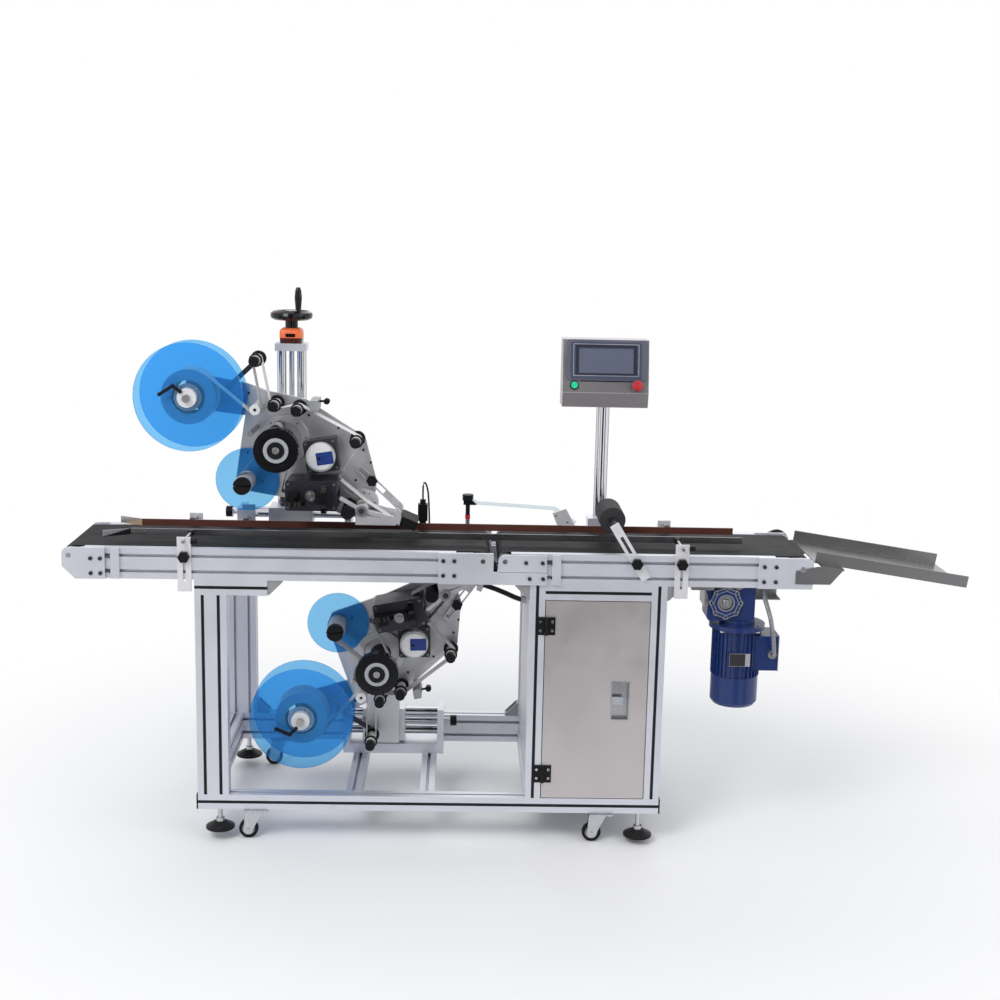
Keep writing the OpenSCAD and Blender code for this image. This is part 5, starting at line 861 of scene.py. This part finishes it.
label_blue = surface("blank blue label", (0.008, 0.035, 0.2), rough=0.3, scale=900, depth=0.02)
roller_cap = [(84.5, 0), (84.5, 17.6), (89.5, 17.6), (89.5, 13.2), (104, 13.2), (104, 0)]
small_cap = [(89.5, 0), (89.5, 4.2), (90.6, 3.8), (90.6, 0)]
box_cap = [(132.8, 0), (132.8, 14), (134.6, 14), (134.6, 10.6), (133.6, 10), (133.6, 6.6), (135.6, 6),
           (135.6, 0)]
web_pin = [(0, 0), (0, 4.7), (95, 4.7), (95, 0)]
hub_cap = [(131, 0), (131, 8), (132.6, 7), (132.6, 0)]
bearing_ring = [(-0.2, 46), (-0.2, 66), (9, 66), (10, 65), (10, 47), (9, 46), (-0.2, 46)]
motor_end = [(94, 0), (94, 4.2), (96.5, 3.8), (96.5, 0)]
plate_screws = [(-96, 118), (62, 62), (140, 30), (206, -28), (226, -62), (-100, -40), (-62, -118),
                (186, -110)]
box_screws = [(79 + dx, -133 + dz) for dx in (-59, 59) for dz in (-31, 31)]
block_screws = bolt_circle(*MOTOR, 36 * math.sqrt(2), np.array([45, 135, 225, 315]) + BLOCK_TURN)
PEEL_PIN = (151, -90)
fittings = [turned((x, 0, z), FRONT, profile, finish, sides) for (x, z), profile, finish, sides in (
    *[(point, roller_cap, [black] * 3 + [white_roll] * 2, 32) for point in ROLLERS[:3]],
    (FIRST, small_cap, black, 16), ((79, -130), box_cap, steel, 32), (PEEL_PIN, web_pin, steel, 20),
    (WIPER_HUB, hub_cap, dark_steel, 20), (FEED, bearing_ring, bright, 64),
    ((97, -38), motor_end, black, 16))]
# Black sockets in all these socket screws' heads: painted shade.
fittings += [cap_screw((x, y, z), FRONT, r, finish, black) for points, y, r, finish in (
    (plate_screws, 0, 3.4, dark_steel), (bolt_circle(*WIPER_HUB, 28, range(0, 360, 90)), -15, 2.8, steel),
    (box_screws, -121, 3.2, steel), (block_screws, -62, 3.2, steel),
    (bolt_circle(*FEED, 57, (8, 52, 128, 172)), -10, 2.8, steel)) for x, z in points]
fittings.append(slab(tile(112, -37.5, 44, 33, 2.5, BLOCK_TURN), -94.7, -93.5, label_blue))
for head in HEADS:
    piece(head + "_head_fittings", head + "_head", [fitted(head, part) for part in fittings])

# Label web
# A paper strip from the supply roll over the rollers and the peel edge to the
# rewind reel; where it runs to a swinging arm it rides on neither body.

ARC = 14  # points round each roller
WEB = np.array([(*SUPPLY, 71.4, -1), (*FIRST, 14.2, 1), (*DANCER, 12.2, -1), (*ROLLERS[0], 12.2, 1),
                (*ROLLERS[1], 12.2, -1), (*ROLLERS[2], 12.2, -1), (*PEEL_PIN, 5, 1),
                (*WIPER_HUB, 17.4, -1), (300.6, -206.4, 0.6, -1), (*NIP, 17.8, -1), (4, -127, 6, -1),
                (*FEED, 28.3, 1), (*REWIND, 24.4, 1)])
thickness, sub_step, least_step = 0.25, 12, 0.05
web_back, web_front, web_middle = -38, -83, -60


def web_path(circles):
    """Centre line of a strip round circles (x, z, r, side), side 1 where it turns left round one
    and -1 where right. The tangent from one to the next runs in the direction of their centres'
    line less arcsin(difference of the sided radii / distance); between two tangents an arc has the
    circle's centre plus side times r times (sine, -cosine) of the direction."""
    x, z, r, side = circles.T
    dx, dz = np.diff(x), np.diff(z)
    ahead = np.arctan2(dz, dx) - np.arcsin(np.diff(side * r) / np.hypot(dx, dz))
    before, after = np.append(ahead[0], ahead), np.append(ahead, ahead[-1])
    turn = side * ((side * (after - before)) % (2 * math.pi))
    turn[abs(turn) > 2 * math.pi - 0.02] = 0.0
    a = before[:, None] + turn[:, None] * np.linspace(0, 1, ARC)
    out = (side * r)[:, None]
    return np.stack([x[:, None] + out * np.sin(a), z[:, None] - out * np.cos(a)], -1).reshape(-1, 2)


def ribbon(path, finish):
    """A strip of paper along a path of (x, z) points: every long step is cut into even ones, and
    a flat rectangle across the web, half the thickness to each side of the path along its
    normal, is carried along it."""
    far = np.linalg.norm(np.diff(path, axis=0), axis=1)
    path = path[np.append(True, far > least_step)]
    parts = np.maximum(1, np.linalg.norm(np.diff(path, axis=0), axis=1) // sub_step)
    knots = np.append(0, np.cumsum(parts))
    stations = np.arange(knots[-1] + 1)
    x, z = (np.interp(stations, knots, path[:, k]) for k in (0, 1))
    dx, dz = np.gradient(x), np.gradient(z)
    off = np.array([-1, 1, 1, -1]) * thickness / 2 / np.hypot(dx, dz)[:, None]
    y = np.tile([web_back, web_back, web_front, web_front], (len(x), 1))
    return loft(np.stack([x[:, None] - off * dz[:, None], y, z[:, None] + off * dx[:, None]], -1), finish)


path = web_path(WEB)
reach = np.arange(len(WEB)) * ARC
leave = reach + ARC - 1
strips = {
    "unwound": (leave[0], leave[1], ["head"]),
    "rise": (leave[1], reach[2], ["head", "dancer_arm"]),
    "dancer": (reach[2], leave[2], ["dancer_arm"]),
    "fall": (leave[2], reach[3], ["dancer_arm", "head"]),
    "top": (reach[3], reach[7], ["head"]),
    "peel": (reach[7], leave[9], ["peel_arm"]),
    "return": (leave[9], reach[10], ["peel_arm", "head"]),
    "liner": (reach[10], reach[12], ["head"]),
}
for head in HEADS:
    for name, (first, last, bodies) in strips.items():
        held = [head + "_" + body for body in bodies]
        strip_points = path[first:last + 1]
        o = piece(head + "_web_" + name, held[0] if len(held) == 1 else None,
                  [fitted(head, ribbon(strip_points, paper))])
        if len(held) == 2:
            ends = from_axis(head, np.insert(strip_points[[0, -1]], 1, web_middle, axis=1))
            start, end = (ends - MID) / 1000
            Vector(start)
            Vector(end)
            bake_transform(o)

# Studio floor
# A pale matt floor takes the shadows near the machine and fades into the
# white of the background farther out.

floor_mesh = bpy.data.meshes.new("floor")
half = 30  # half of the floor's side, m
floor_mesh.from_pydata([(-half, -half, 0), (half, -half, 0), (half, half, 0), (-half, half, 0)], [],
                       [(0, 1, 2, 3)])
floor = bpy.data.objects.new("floor", floor_mesh)
bpy.context.scene.collection.objects.link(floor)
studio = surface("studio floor", (0.9, 0.9, 0.9), rough=0.7, depth=0.0, vary=0.01, dust=0.0)
floor_mesh.materials.append(studio)


def seen_directly(tree):
    """1 for the rays of camera, mirror and glass, 0 for the light that falls on things."""
    rays = add(tree, "ShaderNodeLightPath")
    seen = rays.outputs["Is Camera Ray"]
    for kind in ("Is Transmission Ray", "Is Glossy Ray"):
        most = add(tree, "ShaderNodeMath", operation="MAXIMUM")
        tree.links.new(seen, most.inputs[0])
        tree.links.new(rays.outputs[kind], most.inputs[1])
        seen = most.outputs[0]
    return seen


tree = studio.node_tree
link = tree.links.new
spot = add(tree, "ShaderNodeTexCoord")
away = add(tree, "ShaderNodeVectorMath", operation="LENGTH")
fade = add(tree, "ShaderNodeMapRange", interpolation_type="SMOOTHSTEP", i_From_Min=0.75, i_From_Max=2.1)
shown = add(tree, "ShaderNodeMath", operation="MULTIPLY")
pure = add(tree, "ShaderNodeEmission", i_Strength=1.0)
open_floor = add(tree, "ShaderNodeBsdfTransparent")
mirror = add(tree, "ShaderNodeLightPath")
beyond_fade = add(tree, "ShaderNodeMixShader")
mix = add(tree, "ShaderNodeMixShader")
link(spot.outputs["Object"], away.inputs[0])
link(away.outputs["Value"], fade.inputs["Value"])
link(fade.outputs[0], shown.inputs[0])
link(seen_directly(tree), shown.inputs[1])
link(mirror.outputs["Is Glossy Ray"], beyond_fade.inputs["Fac"])
link(pure.outputs[0], beyond_fade.inputs[1])
link(open_floor.outputs[0], beyond_fade.inputs[2])
link(shown.outputs[0], mix.inputs["Fac"])
link(tree.nodes["Principled BSDF"].outputs[0], mix.inputs[1])
link(beyond_fade.outputs[0], mix.inputs[2])
link(mix.outputs[0], tree.nodes["Material Output"].inputs["Surface"])

# Surroundings
# White to the camera and through glass, an even grey for the light that falls
# on things, and for mirrors a bright room with dark bands in front.

world = bpy.data.worlds.new("studio")
world.use_nodes = True
bpy.context.scene.world = world
tree = world.node_tree
link = tree.links.new
white = add(tree, "ShaderNodeMix", data_type="RGBA")
white.inputs["A"].default_value = (0.66, 0.67, 0.7, 1)
white.inputs["B"].default_value = (1, 1, 1, 1)
toward = add(tree, "ShaderNodeTexCoord")
parts = add(tree, "ShaderNodeSeparateXYZ")
forwards = add(tree, "ShaderNodeMath", operation="MULTIPLY")
forwards.inputs[1].default_value = -1.0
around = add(tree, "ShaderNodeMath", operation="ARCTAN2")
turns = add(tree, "ShaderNodeMapRange", i_From_Min=-math.pi, i_From_Max=math.pi)
room = add(tree, "ShaderNodeValToRGB")
for place, value in ((0.36, 1.0), (0.385, 0.1), (0.405, 0.95), (0.46, 0.95), (0.475, 0.02), (0.535, 0.02),
                     (0.55, 0.95), (0.6, 0.95), (0.615, 0.05), (0.64, 0.1), (0.66, 1.0)):
    room.color_ramp.elements.new(place).color = (value, value, value * 1.02, 1)
room.color_ramp.elements[0].color = room.color_ramp.elements[-1].color = (1, 1, 1, 1)
mirror = add(tree, "ShaderNodeLightPath")
shown = add(tree, "ShaderNodeMix", data_type="RGBA")
link(toward.outputs["Generated"], parts.inputs[0])
link(parts.outputs["Y"], forwards.inputs[0])
link(parts.outputs["X"], around.inputs[0])
link(forwards.outputs[0], around.inputs[1])
link(around.outputs[0], turns.inputs["Value"])
link(turns.outputs[0], room.inputs[0])
link(seen_directly(tree), white.inputs["Factor"])
link(mirror.outputs["Is Glossy Ray"], shown.inputs["Factor"])
link(white.outputs["Result"], shown.inputs["A"])
link(room.outputs["Color"], shown.inputs["B"])
link(shown.outputs["Result"], tree.nodes["Background"].inputs["Color"])

# Lamps
# A key softbox from the front left, a weaker fill from the right and one
# behind; places and aims in metres, power in watts.

for name, place, aim, size, power in (
    ("key", (-2.5, -3.5, 4.2), (0, 0, 0.6), 2.2, 120),
    ("fill", (3.4, -2.6, 2.6), (0, 0, 0.6), 3.0, 34),
    ("back", (0.5, 3.5, 3.6), (0, 0, 0.7), 3.0, 36),
):
    lamp = bpy.data.lights.new(name, "AREA")
    lamp.size = size
    lamp.energy = power
    o = bpy.data.objects.new(name, lamp)
    bpy.context.scene.collection.objects.link(o)
    facing = (Vector(place) - Vector(aim)).to_track_quat("Z", "Y").to_matrix().to_4x4()
    o.matrix_world = Matrix.Translation(place) @ facing

# Camera
# It stands where the photo was taken, by a fit of the machine's corners: the
# place in mm of the CAD's base frame, the turns in degrees.

lens = bpy.data.cameras.new("camera")
lens.sensor_width = 36.0
lens.lens = 52.94
lens.clip_end = 100.0
camera = bpy.data.objects.new("camera", lens)
bpy.context.scene.collection.objects.link(camera)
pan, tip, roll = (Matrix.Rotation(math.radians(a), 3, axis) for a, axis in (
    (-1.5557, "Z"), (-10.8637, "X"), (-1.2487, "Y")))
right, ahead, up = (pan @ tip @ roll).col
eye = (np.array([669.49, -3622.0, 1610.7]) - MID) / 1000
camera.matrix_world = Matrix((*zip(right, up, -ahead, eye), (0, 0, 0, 1)))
bpy.context.scene.camera = camera
bpy.context.scene.view_settings.view_transform = "Standard"
